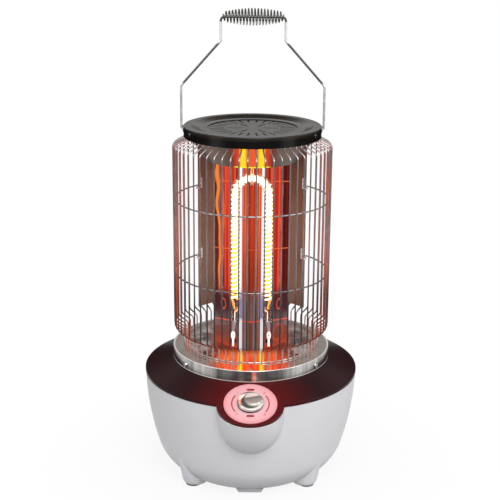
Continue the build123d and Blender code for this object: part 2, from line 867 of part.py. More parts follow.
# Base tray: a rim with a hem, and a floor set below the hem
with BuildPart() as base_tray:
    with BuildSketch(meridian):
        with Locations((tray_radius, cover_deck_height)):
            Rectangle(tray_sheet, tray_height - cover_deck_height, align=(Align.MAX, Align.MIN))
        with Locations((tray_radius, tray_height)):
            Rectangle(tray_hem, tray_height - tray_floor_height, align=(Align.MAX, Align.MAX))
        with Locations((0, tray_floor_height)):
            Rectangle(tray_radius, tray_sheet, align=(Align.MIN, Align.MAX))
    revolve(axis=spine)
    hem_edges = base_tray.edges().group_by(Axis.Z)[-1]
    fillet(hem_edges, tray_hem * hem_share)
    with BuildSketch(level(tray_floor_height - tray_sheet - overrun)):
        with Locations((socket_x, socket_mid_y), (-socket_x, socket_mid_y)):
            Circle(grommet_radius + seat_gap)
        with Locations((0, -clip_screw_reach), (0, clip_screw_reach)):
            Circle(small_screw[2] + seat_gap)
        with Locations((0, tab_screw_y)):
            Circle(small_screw[2] + seat_gap)
        with Locations((-cutout_ear, cutout_y), (cutout_ear, cutout_y)):
            Circle(small_screw[2] + seat_gap)
    extrude(amount=tray_sheet + 2 * overrun, mode=Mode.SUBTRACT)
    for angle in tray_screw_angles:
        with BuildSketch(facing_out(angle, tray_radius, (cover_deck_height + tray_floor_height) / 2)):
            Circle(tray_screw[2] + seat_gap)
        extrude(amount=-2 * tray_sheet - overrun, mode=Mode.SUBTRACT)
base_tray.part.label = "base_tray"
export_step(base_tray.part, "parts/base_tray.step")

# Screws round the tray's rim
tray_screw_places = [
    facing_out(angle, tray_radius + seat_gap, (cover_deck_height + tray_floor_height) / 2)
    for angle in tray_screw_angles
]
with BuildPart() as tray_screws:
    add(screws_at(tray_screw_places, tray_screw, screw_length))
tray_screws.part.label = "tray_screws"
export_step(tray_screws.part, "parts/tray_screws.step")

# One guard wire at the front, bent in at its head and foot
with BuildPart() as one_wire:
    with BuildLine(Plane.XZ) as wire_line:
        FilletPolyline(
            (guard_foot_radius, tray_floor_height + seat_gap),
            (guard_foot_radius, waist_foot_height),
            (guard_radius, waist_height),
            (guard_radius, shoulder_height),
            (guard_head_radius, shoulder_top_height),
            (guard_head_radius, guard_top_height),
            radius=wire_bend,
        )
    with BuildSketch(Plane(origin=wire_line.line @ 0, z_dir=wire_line.line % 0)):
        Circle(wire_radius)
    sweep()

# Guard wires
with BuildPart(level(0)) as guard_wires:
    with PolarLocations(0, wire_count, start_angle=180 / wire_count):
        add(one_wire.part)
guard_wires.part.label = "guard_wires"
export_step(guard_wires.part, "parts/guard_wires.step")

# Rings at the guard's foot and head, welded inside the wires
ring_inset = 2 * wire_radius + seat_gap
base_ring_radius = guard_foot_radius - ring_inset
for label, ring_height in zip(("lower", "upper"), base_ring_heights):
    with BuildPart() as base_ring:
        with BuildSketch(meridian):
            with Locations((base_ring_radius, ring_height)):
                Circle(wire_radius)
        revolve(axis=spine)
    base_ring.part.label = "base_ring_" + label
    export_step(base_ring.part, "parts/base_ring_" + label + ".step")

with BuildPart() as top_ring:
    with BuildSketch(meridian):
        with Locations((guard_head_radius - ring_inset, top_ring_height)):
            Circle(wire_radius)
    revolve(axis=spine)
top_ring.part.label = "top_ring"
export_step(top_ring.part, "parts/top_ring.step")

# Rings round the front of the guard, from one edge of the shield to the other
for label, ring_height in zip(("lower", "upper"), mid_ring_heights):
    with BuildPart() as guard_ring:
        with BuildSketch(radial(-shield_start - ring_lap_angle)):
            with Locations((guard_radius - ring_inset, ring_height)):
                Circle(wire_radius)
        revolve(axis=spine, revolution_arc=2 * (shield_start + ring_lap_angle))
    guard_ring.part.label = "guard_ring_" + label
    export_step(guard_ring.part, "parts/guard_ring_" + label + ".step")

# Clips that hold the base rings, front and back, with fingers between the wires
finger_x = (0, sin(radians(360 / wire_count)) * guard_foot_radius)
with BuildPart() as guard_clips:
    for side in (-1, 1):
        with BuildSketch(level(tray_floor_height + seat_gap)):
            with Locations((0, side * (clip_wall_reach + clip_reach) / 2)):
                Rectangle(clip_width, clip_reach - clip_wall_reach)
            with Locations((0, side * clip_screw_reach)):
                Circle(small_screw[2] + seat_gap, mode=Mode.SUBTRACT)
        extrude(amount=clip_sheet)
        with BuildSketch(level(tray_floor_height + seat_gap)):
            with Locations((0, side * (clip_wall_reach + clip_sheet / 2))):
                Rectangle(clip_width, clip_sheet)
        extrude(amount=finger_top - tray_floor_height - seat_gap)
        with BuildSketch(level(finger_top - clip_sheet)):
            with Locations((0, side * (clip_wall_reach - finger_reach))):
                with Locations((-finger_x[1], 0), (0, 0), (finger_x[1], 0)):
                    Rectangle(finger_width, 2 * finger_reach)
        extrude(amount=clip_sheet)
guard_clips.part.label = "guard_clips"
export_step(guard_clips.part, "parts/guard_clips.step")

# Screws of the guard clips
clip_screw_places = [
    Plane(origin=(0, axis_y + side * clip_screw_reach, tray_floor_height + clip_sheet + 2 * seat_gap))
    for side in (-1, 1)
]
with BuildPart() as clip_screws:
    add(screws_at(clip_screw_places, small_screw, screw_length))
clip_screws.part.label = "clip_screws"
export_step(clip_screws.part, "parts/clip_screws.step")

# Rear heat shield, a curved sheet inside the guard
with BuildPart() as rear_shield:
    with BuildSketch(radial(shield_start)):
        with Locations((shield_radius, shield_bottom)):
            Rectangle(shield_sheet, shield_top - shield_bottom, align=(Align.CENTER, Align.MIN))
    revolve(axis=spine, revolution_arc=360 - 2 * shield_start)
rear_shield.part.label = "rear_shield"
export_step(rear_shield.part, "parts/rear_shield.step")

# Tabs that carry the ends of the front rings on the shield
tab_inner = shield_radius + shield_sheet / 2 + seat_gap
tab_outer = guard_radius - wire_radius - seat_gap
with BuildPart() as ring_tabs:
    for ring_height in mid_ring_heights:
        for angle in (tab_angle, -tab_angle):
            tab_place = facing_out(angle, (tab_inner + tab_outer) / 2 + tab_bow, ring_height - wire_radius)
            tab_block = tab_place.offset(-(tab_outer - tab_inner) / 2)
            with BuildSketch(tab_block):
                with Locations((0, -seat_gap)):
                    Rectangle(tab_width, tab_sheet, align=(Align.CENTER, Align.MAX))
            extrude(amount=tab_outer - tab_inner - tab_bow)
            with BuildSketch(tab_block):
                with Locations((0, -seat_gap)):
                    Rectangle(tab_width, tab_width, align=(Align.CENTER, Align.MAX))
            extrude(amount=tab_sheet)
ring_tabs.part.label = "ring_tabs"
export_step(ring_tabs.part, "parts/ring_tabs.step")

# Posts between the reflector's folded edges and the shield
shield_inner = shield_radius - shield_sheet / 2 - seat_gap
with BuildPart() as shield_posts:
    for post_height in post_heights:
        with BuildSketch(upright(wing_y + reflector_sheet + seat_gap)):
            with Locations((-post_offset, post_height), (post_offset, post_height)):
                Circle(post_radius)
        extrude(amount=-shield_radius)
    with BuildSketch(level(post_heights[0] - post_radius)):
        Circle(shield_inner)
    extrude(amount=post_heights[1] - post_heights[0] + 2 * post_radius, mode=Mode.INTERSECT)
shield_posts.part.label = "shield_posts"
export_step(shield_posts.part, "parts/shield_posts.step")

# Rivet heads on the outside of the shield, one behind each post
post_angle = 180 - degrees(asin(post_offset / shield_radius))
with BuildPart() as shield_rivets:
    for post_height in post_heights:
        for angle in (post_angle, -post_angle):
            with BuildSketch(facing_out(angle, shield_radius + shield_sheet / 2 + seat_gap, post_height)):
                Circle(rivet_radius)
            extrude(amount=rivet_height, taper=20)
shield_rivets.part.label = "shield_rivets"
export_step(shield_rivets.part, "parts/shield_rivets.step")

# Reflector: a sheet folded back from a small bead in the middle
with BuildPart() as reflector:
    with BuildSketch(level(tray_floor_height + seat_gap)):
        with BuildLine():
            fold_y = reflector_front + fold_setback
            half_plan = [
                (0, reflector_front - bead_depth),
                (bead_half_width, reflector_front),
                (fold_offset, fold_y),
                (wing_offset, wing_y),
                (wing_offset - return_width, wing_y),
            ]
            sheet_back = [
                (wing_offset - return_width, wing_y - reflector_sheet),
                (wing_offset - wing_lap, wing_y - reflector_sheet),
                (fold_offset - fold_lap, fold_y + reflector_sheet),
                (bead_half_width, reflector_front + reflector_sheet),
                (0, reflector_front - bead_depth + reflector_sheet),
            ]
            Polyline(*half_plan, *sheet_back, close=True)
        make_face()
        mirror(about=Plane.YZ)
    extrude(amount=reflector_top - tray_floor_height - seat_gap)
    with BuildSketch(level(tray_floor_height + seat_gap)):
        with Locations((0, reflector_front + reflector_sheet / 2)):
            Rectangle(reflector_tab_width, reflector_tab_depth, align=(Align.CENTER, Align.MIN))
        with Locations((0, tab_screw_y)):
            Circle(small_screw[2] + seat_gap, mode=Mode.SUBTRACT)
    extrude(amount=reflector_sheet)
    with BuildSketch(upright(reflector_front)):
        with Locations((terminal_x + stem_shift, slot_level), (-terminal_x - stem_shift, slot_level)):
            Rectangle(slot_width, slot_height)
    extrude(amount=fold_setback * 2, both=True, mode=Mode.SUBTRACT)
reflector.part.label = "reflector"
export_step(reflector.part, "parts/reflector.step")

# Screw through the reflector's foot tab
with BuildPart() as reflector_screws:
    tab_screw_place = Plane(
        origin=(0, axis_y + tab_screw_y, tray_floor_height + reflector_sheet + 2 * seat_gap)
    )
    add(screws_at([tab_screw_place], small_screw, screw_length))
reflector_screws.part.label = "reflector_screws"
export_step(reflector_screws.part, "parts/reflector_screws.step")

# Heat deflector: a closed cone that flares up to the top frame
with BuildPart() as heat_deflector:
    with BuildSketch(meridian):
        with BuildLine():
            cone_sheet = deflector_sheet * cone_share
            Polyline(
                (0, deflector_height),
                (deflector_radius, deflector_height),
                (deflector_head_radius, deflector_head_height),
                (deflector_head_radius, frame_bottom - seat_gap),
                (deflector_head_radius - cone_sheet, frame_bottom - seat_gap),
                (deflector_head_radius - cone_sheet, deflector_head_height),
                (deflector_radius - cone_sheet, deflector_height + deflector_sheet),
                (0, deflector_height + deflector_sheet),
                close=True,
            )
        make_face()
    revolve(axis=spine)
    with BuildSketch(level(deflector_height - overrun)):
        with Locations((-hook_half_gap, hook_y), (hook_half_gap, hook_y)):
            Circle(hook_wire_radius + seat_gap)
    extrude(amount=2 * overrun + deflector_sheet, mode=Mode.SUBTRACT)
heat_deflector.part.label = "heat_deflector"
export_step(heat_deflector.part, "parts/heat_deflector.step")

# Top frame: a ring plate with an upturned flange that carries cap, guard and deflector
with BuildPart() as top_frame:
    with BuildSketch(level(frame_bottom)):
        Circle(frame_radius)
        Circle(frame_opening_radius, mode=Mode.SUBTRACT)
    extrude(amount=frame_sheet)
    with BuildSketch(level(frame_bottom)):
        Circle(frame_radius)
        Circle(frame_radius - frame_flange, mode=Mode.SUBTRACT)
    extrude(amount=frame_flange_height)
    for angle in (90, 270):
        with BuildSketch(facing_out(angle, cap_radius, pivot_height)):
            Circle(bushing_radius + seat_gap)
        extrude(amount=-bushing_inset, mode=Mode.SUBTRACT)
    for angle in cap_screw_angles:
        with BuildSketch(facing_out(angle, cap_radius, cap_screw_height)):
            Circle(small_screw[2] + seat_gap)
        extrude(amount=-bushing_inset, mode=Mode.SUBTRACT)
top_frame.part.label = "top_frame"
export_step(top_frame.part, "parts/top_frame.step")

# Cap: a pressed dish with two rings of vents
with BuildPart() as cap:
    with BuildSketch(meridian):
        with BuildLine():
            dish_height = cap_top - cap_dish_depth
            Polyline(
                (cap_radius, cap_top - cap_skirt),
                (cap_radius, cap_top),
                (cap_annulus_radius, cap_top),
                (cap_dish_radius, dish_height),
                (grille_radius, dish_height),
                (grille_radius, dish_height - grille_drop),
                (0, dish_height - grille_drop),
                (0, dish_height - grille_drop - cap_sheet),
                (grille_radius + cap_sheet, dish_height - grille_drop - cap_sheet),
                (grille_radius + cap_sheet, dish_height - cap_sheet),
                (cap_dish_radius, dish_height - cap_sheet),
                (cap_annulus_radius, cap_top - cap_sheet),
                (cap_radius - cap_sheet, cap_top - cap_sheet),
                (cap_radius - cap_sheet, cap_top - cap_skirt),
                close=True,
            )
        make_face()
    revolve(axis=spine)
    cap_rim = cap.edges().filter_by(GeomType.CIRCLE).filter_by(
        lambda edge: abs(edge.radius - cap_radius) < seat_gap and edge.center().Z > cap_top - overrun
    )
    fillet(cap_rim, cap_edge_round)
    with BuildSketch(level(dish_height - grille_drop - cap_sheet - overrun)):
        with PolarLocations(
            (outer_slot_inner + outer_slot_outer) / 2,
            outer_slot_count,
            start_angle=180 / outer_slot_count - 90,
        ):
            SlotOverall(outer_slot_outer - outer_slot_inner, vent_width)
        with PolarLocations((inner_slot_inner + inner_slot_outer) / 2, inner_slot_count):
            SlotOverall(inner_slot_outer - inner_slot_inner, vent_width)
    extrude(amount=cap_sheet + 2 * overrun, mode=Mode.SUBTRACT)
    for angle in (90, 270):
        with BuildSketch(facing_out(angle, cap_radius + overrun, pivot_height)):
            Circle(bushing_radius + seat_gap)
        extrude(amount=-bushing_inset - overrun, mode=Mode.SUBTRACT)
    for angle in cap_screw_angles:
        with BuildSketch(facing_out(angle, cap_radius + overrun, cap_screw_height)):
            Circle(small_screw[2] + seat_gap)
        extrude(amount=-bushing_inset - overrun, mode=Mode.SUBTRACT)
cap.part.label = "cap"
export_step(cap.part, "parts/cap.step")

# Screws round the cap's rim
cap_screw_places = [
    facing_out(angle, cap_radius + seat_gap, cap_screw_height) for angle in cap_screw_angles
]
with BuildPart() as cap_screws:
    add(screws_at(cap_screw_places, small_screw, screw_length))
cap_screws.part.label = "cap_screws"
export_step(cap_screws.part, "parts/cap_screws.step")

# Bushings that the handle's ends turn in
with BuildPart() as handle_bushings:
    for angle in (90, 270):
        with BuildSketch(facing_out(angle, cap_radius + seat_gap, pivot_height)):
            Circle(bushing_head_radius)
        extrude(amount=bushing_head)
        with BuildSketch(facing_out(angle, cap_radius + seat_gap, pivot_height)):
            Circle(bushing_radius)
        extrude(amount=-bushing_inset)
        with BuildSketch(facing_out(angle, cap_radius + overrun, pivot_height)):
            Circle(bail_radius + running_gap)
        extrude(amount=-bushing_inset - 2 * overrun, mode=Mode.SUBTRACT)
handle_bushings.part.label = "handle_bushings"
export_step(handle_bushings.part, "parts/handle_bushings.step")

# Handle bail: one wire from pivot to pivot, seen from the front
with BuildPart() as handle_bail:
    with BuildLine(upright(0)) as bail_line:
        FilletPolyline(
            (-bail_end, pivot_height),
            (-bail_half_width, pivot_height),
            (-bail_half_width, bail_elbow_height),
            (-bail_neck_half_width, bail_neck_height),
            (-bail_neck_half_width, grip_height),
            (bail_neck_half_width, grip_height),
            (bail_neck_half_width, bail_neck_height),
            (bail_half_width, bail_elbow_height),
            (bail_half_width, pivot_height),
            (bail_end, pivot_height),
            radius=bail_bends,
        )
    with BuildSketch(Plane(origin=bail_line.line @ 0, z_dir=bail_line.line % 0)):
        Circle(bail_radius)
    sweep()
handle_bail.part.label = "handle_bail"
export_step(handle_bail.part, "parts/handle_bail.step")

# Retaining washers on the bail's inner ends
with BuildPart() as bail_retainers:
    for angle in (90, 270):
        with BuildSketch(facing_out(angle, bail_end + overrun / 2, pivot_height)):
            Circle(retainer_radius)
            Circle(bail_radius + seat_gap, mode=Mode.SUBTRACT)
        extrude(amount=-retainer_thickness)
bail_retainers.part.label = "bail_retainers"
export_step(bail_retainers.part, "parts/bail_retainers.step")


# Grip: a coil round the bail's rod, full in the middle and closed down at its ends
def grip_point(turn):
    """A point on the grip's centre line after a number of turns."""
    share = turn / grip_turns
    swell = sin(pi * min(max(share, 0), 1))
    radius = grip_end_radius + (grip_radius - grip_end_radius) * swell**grip_swell_power
    near_end = max(0, 1 - min(turn, grip_turns - turn) / grip_close_turns)
    radius -= (grip_end_radius - grip_close_radius) * near_end**2 * (3 - 2 * near_end)
    return Vector(
        grip_length * (share - 0.5),
        axis_y + radius * sin(2 * pi * turn),
        grip_height + radius * cos(2 * pi * turn),
    )


with BuildPart() as handle_grip:
    grip_path = Wire(coil_edges(grip_point, grip_turns, 4))
    with BuildSketch(Plane(origin=grip_path @ 0, z_dir=grip_path % 0)):
        Circle(grip_wire_radius)
    sweep(path=grip_path)
handle_grip.part.label = "handle_grip"
export_step(handle_grip.part, "parts/handle_grip.step")
print("grip gap", least_gap(grip_point, grip_turns, 2 * grip_wire_radius), handle_grip.part.volume)

# Lamp tube: clear quartz bent to an upside-down U
with BuildPart() as lamp_tube:
    with BuildLine(upright(lamp_y)) as lamp_line:
        Line((-lamp_half_gap, lamp_foot_height), (-lamp_half_gap, lamp_arch_height))
        ThreePointArc(
            (-lamp_half_gap, lamp_arch_height),
            (0, lamp_arch_height + lamp_half_gap),
            (lamp_half_gap, lamp_arch_height),
        )
        Line((lamp_half_gap, lamp_arch_height), (lamp_half_gap, lamp_foot_height))
    with BuildSketch(Plane(origin=lamp_line.line @ 0, z_dir=lamp_line.line % 0)):
        Circle(lamp_radius)
        Circle(lamp_radius - lamp_wall, mode=Mode.SUBTRACT)
    sweep()
lamp_tube.part.label = "lamp_tube"
export_step(lamp_tube.part, "parts/lamp_tube.step")

# Filament: a coil that follows the tube up one leg, over the arch and down the other
filament_leg = lamp_arch_height - filament_foot_height
filament_run = 2 * filament_leg + pi * lamp_half_gap
filament_turns = round(filament_run / filament_pitch)
filament_step = filament_run / filament_turns


def lamp_station(run):
    """Place and heading in the lamp's plane after a run along its centre line."""
    if run < filament_leg:
        return -lamp_half_gap, filament_foot_height + run, 0.0
    bend = (run - filament_leg) / lamp_half_gap
    if bend < pi:
        return -lamp_half_gap * cos(bend), lamp_arch_height + lamp_half_gap * sin(bend), bend
    return lamp_half_gap, lamp_arch_height - (run - filament_leg - pi * lamp_half_gap), pi


def filament_point(turn):
    """A point on the filament's centre line after a number of turns."""
    across, height, bend = lamp_station(turn * filament_step)
    swing = 2 * pi * turn
    out = filament_radius * cos(swing)
    return Vector(
        across + out * cos(bend),
        axis_y + lamp_y + filament_radius * sin(swing),
        height - out * sin(bend),
    )


with BuildPart() as filament:
    filament_path = Wire(coil_edges(filament_point, filament_turns, 2))
    with BuildSketch(Plane(origin=filament_path @ 0, z_dir=filament_path % 0)):
        Circle(filament_wire_radius)
    sweep(path=filament_path)
filament.part.label = "filament"
export_step(filament.part, "parts/filament.step")
print("filament gap", least_gap(filament_point, filament_turns, 2 * filament_wire_radius))
print("filament", filament_turns, "turns", filament.part.volume)

# Leads from the filament's ends down to the seals
with BuildPart() as lamp_leads:
    for side in (-1, 1):
        with BuildLine(upright(lamp_y)) as lead_line:
            FilletPolyline(
                (side * (lamp_half_gap - filament_radius), filament_foot_height - lead_drop),
                (side * (lamp_half_gap - filament_radius), filament_foot_height - 2 * lead_drop),
                (side * lamp_half_gap, filament_foot_height - 3 * lead_drop),
                (side * lamp_half_gap, lamp_foot_height + seat_gap),
                radius=lead_radius * 2,
            )
        with BuildSketch(Plane(origin=lead_line.line @ 0, z_dir=lead_line.line % 0)):
            Circle(lead_radius)
        sweep()
lamp_leads.part.label = "lamp_leads"
export_step(lamp_leads.part, "parts/lamp_leads.step")

# Seals that close the tube's feet
with BuildPart() as lamp_seals:
    with BuildSketch(level(lamp_foot_height - seat_gap)):
        with Locations((-lamp_half_gap, lamp_y), (lamp_half_gap, lamp_y)):
            Circle(lamp_radius)
    extrude(amount=-seal_height)
lamp_seals.part.label = "lamp_seals"
export_step(lamp_seals.part, "parts/lamp_seals.step")

# Terminal tabs: a holed plate, and a stem that bends back into the socket
with BuildPart() as lamp_terminals:
    plate_top = lamp_foot_height - seal_height - 2 * seat_gap
    with BuildSketch(upright(lamp_y - terminal_sheet / 2)):
        for side in (-1, 1):
            with Locations((side * lamp_half_gap, terminal_neck_height)):
                Rectangle(
                    terminal_width, plate_top - terminal_neck_height, align=(Align.CENTER, Align.MIN)
                )
            with Locations((side * lamp_half_gap, terminal_hole_height)):
                Circle(terminal_hole_radius, mode=Mode.SUBTRACT)
    extrude(amount=-terminal_sheet)
    for side in (-1, 1):
        stem_x = side * socket_x - stem_width / 2
        with BuildSketch(Plane.YZ.offset(stem_x)):
            with BuildLine(mode=Mode.PRIVATE) as stem_line:
                FilletPolyline(
                    (axis_y + lamp_y, terminal_neck_height),
                    (axis_y + lamp_y, slot_level),
                    (axis_y + stem_end_y, slot_level),
                    radius=stem_bend,
                )
            add(stem_line.line)
            trace(line_width=terminal_sheet)
        extrude(amount=stem_width)
lamp_terminals.part.label = "lamp_terminals"
export_step(lamp_terminals.part, "parts/lamp_terminals.step")

# Hairpin hook that steadies the lamp's arch from the deflector
with BuildPart() as lamp_hook:
    hook_foot = lamp_arch_height + lamp_half_gap - lamp_radius - hook_wire_radius - fit_gap
    hook_back = axis_y + lamp_y + hook_length / 2
    with BuildLine() as hook_line:
        FilletPolyline(
            (-hook_half_gap, axis_y + hook_y, deflector_height + deflector_sheet),
            (-hook_half_gap, axis_y + hook_y, hook_foot),
            (-hook_half_gap, hook_back, hook_foot),
            (hook_half_gap, hook_back, hook_foot),
            (hook_half_gap, axis_y + hook_y, hook_foot),
            (hook_half_gap, axis_y + hook_y, deflector_height + deflector_sheet),
            radius=[hook_bend, hook_turn, hook_turn, hook_bend],
        )
    with BuildSketch(Plane(origin=hook_line.line @ 0, z_dir=hook_line.line % 0)):
        Circle(hook_wire_radius)
    sweep()
lamp_hook.part.label = "lamp_hook"
export_step(lamp_hook.part, "parts/lamp_hook.step")

# Ceramic sockets behind the reflector, with a pocket for each stem
with BuildPart() as lamp_sockets:
    with BuildSketch(level(tray_floor_height + grommet_lip + 2 * seat_gap)):
        with Locations((-socket_x, socket_mid_y), (socket_x, socket_mid_y)):
            Rectangle(socket_width, socket_depth)
    extrude(amount=socket_height)
    fillet(lamp_sockets.edges().filter_by(Axis.Z), socket_round)
    with BuildSketch(upright(socket_front - overrun)):
        with Locations((-socket_x, slot_level), (socket_x, slot_level)):
            Rectangle(pocket_width, pocket_height)
    extrude(amount=socket_front - overrun - stem_end_y - overrun, mode=Mode.SUBTRACT)
lamp_sockets.part.label = "lamp_sockets"
export_step(lamp_sockets.part, "parts/lamp_sockets.step")

# Grommets that lead the wires through the tray to the sockets
with BuildPart() as lamp_grommets:
    with BuildSketch(level(tray_floor_height + seat_gap)):
        with Locations((-socket_x, socket_mid_y), (socket_x, socket_mid_y)):
            Circle(grommet_flange)
    extrude(amount=grommet_lip)
    with BuildSketch(level(tray_floor_height + seat_gap)):
        with Locations((-socket_x, socket_mid_y), (socket_x, socket_mid_y)):
            Circle(grommet_radius)
    extrude(amount=-2 * grommet_lip)
    with BuildSketch(level(tray_floor_height - 2 * grommet_lip - overrun)):
        with Locations((-socket_x, socket_mid_y), (socket_x, socket_mid_y)):
            Circle(grommet_bore)
    extrude(amount=3 * grommet_lip + 2 * overrun, mode=Mode.SUBTRACT)
lamp_grommets.part.label = "lamp_grommets"
export_step(lamp_grommets.part, "parts/lamp_grommets.step")

# Tip-over safety foot: a block under the sole on a stem with a collar and a pin
guide_top = sole_height + shell_wall + tip_guide_height
collar_bottom = guide_top + tip_collar_gap
collar_top = collar_bottom + tip_collar_height
spring_top = collar_top + tip_spring_length
with BuildPart() as tip_foot:
    with BuildSketch(upright(tip_front)):
        with BuildLine():
            Polyline(
                (-tip_bottom_width / 2, 0),
                (tip_bottom_width / 2, 0),
                (tip_top_width / 2, tip_block_height),
                (-tip_top_width / 2, tip_block_height),
                close=True,
            )
        make_face()
    extrude(amount=-tip_depth)
    with BuildSketch(level(tip_block_height)):
        with Locations((0, tip_stem_y)):
            Circle(tip_stem_radius)
    extrude(amount=collar_bottom - tip_block_height)
    with BuildSketch(level(collar_bottom)):
        with Locations((0, tip_stem_y)):
            Circle(tip_collar_radius)
    extrude(amount=tip_collar_height)
    with BuildSketch(level(collar_top)):
        with Locations((0, tip_stem_y)):
            Circle(tip_pin_radius)
    extrude(amount=tip_spring_length - fit_gap)
tip_foot.part.label = "tip_foot"
export_step(tip_foot.part, "parts/tip_foot.step")


# Spring that drives the foot out when the heater is lifted or falls
def tip_spring_point(turn):
    """A point on the spring's centre line after a number of turns."""
    climb = tip_spring_length - 2 * tip_spring_wire - 2 * seat_gap
    return Vector(
        tip_spring_radius * cos(2 * pi * turn),
        axis_y + tip_stem_y + tip_spring_radius * sin(2 * pi * turn),
        collar_top + tip_spring_wire + seat_gap + climb * turn / tip_spring_turns,
    )


with BuildPart() as tip_spring:
    tip_spring_path = Wire(coil_edges(tip_spring_point, tip_spring_turns, 4))
    with BuildSketch(Plane(origin=tip_spring_path @ 0, z_dir=tip_spring_path % 0)):
        Circle(tip_spring_wire)
    sweep(path=tip_spring_path)
tip_spring.part.label = "tip_spring"
export_step(tip_spring.part, "parts/tip_spring.step")
print("spring gap", least_gap(tip_spring_point, tip_spring_turns, 2 * tip_spring_wire))

# Tip-over switch above the pin
with BuildPart() as tip_switch:
    with BuildSketch(level(spring_top + seat_gap)):
        with Locations((0, tip_stem_y)):
            Rectangle(tip_switch_width, tip_switch_depth)
    extrude(amount=tip_switch_height)
    fillet(tip_switch.edges().filter_by(Axis.Z), tip_bracket_sheet)
tip_switch.part.label = "tip_switch"
export_step(tip_switch.part, "parts/tip_switch.step")

# Bracket that holds the tip-over switch on the sole
with BuildPart() as tip_bracket:
    leg_x = tip_switch_width / 2 + seat_gap + tip_bracket_sheet / 2
    bracket_base = sole_height + shell_wall + seat_gap
    bracket_top = spring_top + tip_switch_height + 2 * seat_gap + tip_bracket_sheet
    with BuildSketch(level(bracket_base)):
        with Locations((-leg_x, tip_stem_y), (leg_x, tip_stem_y)):
            Rectangle(tip_bracket_sheet, tip_switch_depth)
    extrude(amount=bracket_top - bracket_base)
    with BuildSketch(level(bracket_top - tip_bracket_sheet)):
        with Locations((0, tip_stem_y)):
            Rectangle(2 * leg_x + tip_bracket_sheet, tip_switch_depth)
    extrude(amount=tip_bracket_sheet)
tip_bracket.part.label = "tip_bracket"
export_step(tip_bracket.part, "parts/tip_bracket.step")

# Thermal cut-out under the tray's floor, with an ear at each side
cutout_seat = level(tray_floor_height - tray_sheet - seat_gap)
with BuildPart() as thermal_cutout:
    with BuildSketch(cutout_seat):
        with Locations((0, cutout_y)):
            Rectangle(2 * cutout_ear + cutout_ear_width, cutout_ear_width)
        with Locations((-cutout_ear, cutout_y), (cutout_ear, cutout_y)):
            Circle(small_screw[2] + seat_gap, mode=Mode.SUBTRACT)
    extrude(amount=-cutout_ear_sheet)
    with BuildSketch(cutout_seat):
        with Locations((0, cutout_y)):
            Circle(cutout_radius)
    extrude(amount=-cutout_height)
thermal_cutout.part.label = "thermal_cutout"
export_step(thermal_cutout.part, "parts/thermal_cutout.step")

# Screws of the thermal cut-out, driven through the tray's floor
cutout_screw_places = [
    Plane(origin=(side * cutout_ear, axis_y + cutout_y, tray_floor_height + seat_gap))
    for side in (-1, 1)
]
with BuildPart() as cutout_screws:
    add(screws_at(cutout_screw_places, small_screw, screw_length))
cutout_screws.part.label = "cutout_screws"
export_step(cutout_screws.part, "parts/cutout_screws.step")

# Terminal block on the bottom cover
block_seat = bottom_cover_seat + bottom_cover_thickness + seat_gap
with BuildPart() as terminal_block:
    with BuildSketch(level(block_seat)):
        with Locations((0, block_y)):
            Rectangle(block_width, block_depth)
    extrude(amount=block_height)
    with BuildSketch(level(block_seat + block_height)):
        with Locations((0, block_y)):
            with GridLocations(block_way_spacing, 0, block_way_count, 1):
                Circle(block_way_radius)
    extrude(amount=-block_height / 2, mode=Mode.SUBTRACT)
terminal_block.part.label = "terminal_block"
export_step(terminal_block.part, "parts/terminal_block.step")

# Wires from the block to the rotary switch and to the lamp sockets
pin_end = switch_seat.offset(-switch_depth - switch_pin_length - seat_gap)
with BuildPart() as internal_wires:
    for side in (-1, 1):
        way_x = side * block_way_spacing / 2
        far_way_x = side * block_way_spacing * (block_way_count - 1) / 2
        with BuildLine() as switch_lead:
            FilletPolyline(
                (way_x, axis_y + block_y, block_seat + block_height / 2 + seat_gap),
                (way_x, axis_y + block_y, block_seat + 2 * block_height + lead_bend),
                (way_x, pin_end.origin.Y + lead_bend, pin_end.origin.Z - 3 * lead_bend),
                (way_x, pin_end.origin.Y, pin_end.origin.Z),
                radius=lead_bend,
            )
        with BuildSketch(Plane(origin=switch_lead.line @ 0, z_dir=switch_lead.line % 0)):
            Circle(lead_wire_radius)
        sweep()
        with BuildLine() as lamp_lead:
            FilletPolyline(
                (far_way_x, axis_y + block_y, block_seat + block_height / 2 + seat_gap),
                (far_way_x, axis_y + block_y, block_seat + 3 * block_height),
                (side * socket_x, axis_y + socket_mid_y, tray_floor_height - 3 * lead_bend),
                (side * socket_x, axis_y + socket_mid_y, tray_floor_height + grommet_lip),
                radius=lead_bend,
            )
        with BuildSketch(Plane(origin=lamp_lead.line @ 0, z_dir=lamp_lead.line % 0)):
            Circle(lead_wire_radius)
        sweep()
internal_wires.part.label = "internal_wires"
export_step(internal_wires.part, "parts/internal_wires.step")

# Cord gland in the back of the shell
with BuildPart() as cord_gland:
    with BuildSketch(gland_plane.offset(gland_stand)):
        Circle(gland_flange_radius)
    extrude(amount=gland_flange)
    with BuildSketch(gland_plane.offset(gland_stand)):
        Circle(gland_radius)
    extrude(amount=-gland_length)
    with BuildSketch(gland_plane.offset(gland_stand + gland_flange)):
        Circle(gland_bore)
    extrude(amount=-gland_length - gland_flange - overrun, mode=Mode.SUBTRACT)
cord_gland.part.label = "cord_gland"
export_step(cord_gland.part, "parts/cord_gland.step")

# Nut inside the shell that holds the gland
with BuildPart() as gland_nut:
    with BuildSketch(gland_plane.offset(-shell_wall - gland_nut_gap)):
        RegularPolygon(gland_flange_radius, 6)
        Circle(gland_radius + seat_gap, mode=Mode.SUBTRACT)
    extrude(amount=-gland_nut_height)
gland_nut.part.label = "gland_nut"
export_step(gland_nut.part, "parts/gland_nut.step")
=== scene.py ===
import json
from functools import cache, partial
from math import acos, atan2, cos, degrees, hypot, pi, radians, sin, sqrt, tau

import bmesh
import bpy
from mathutils import Matrix, Vector


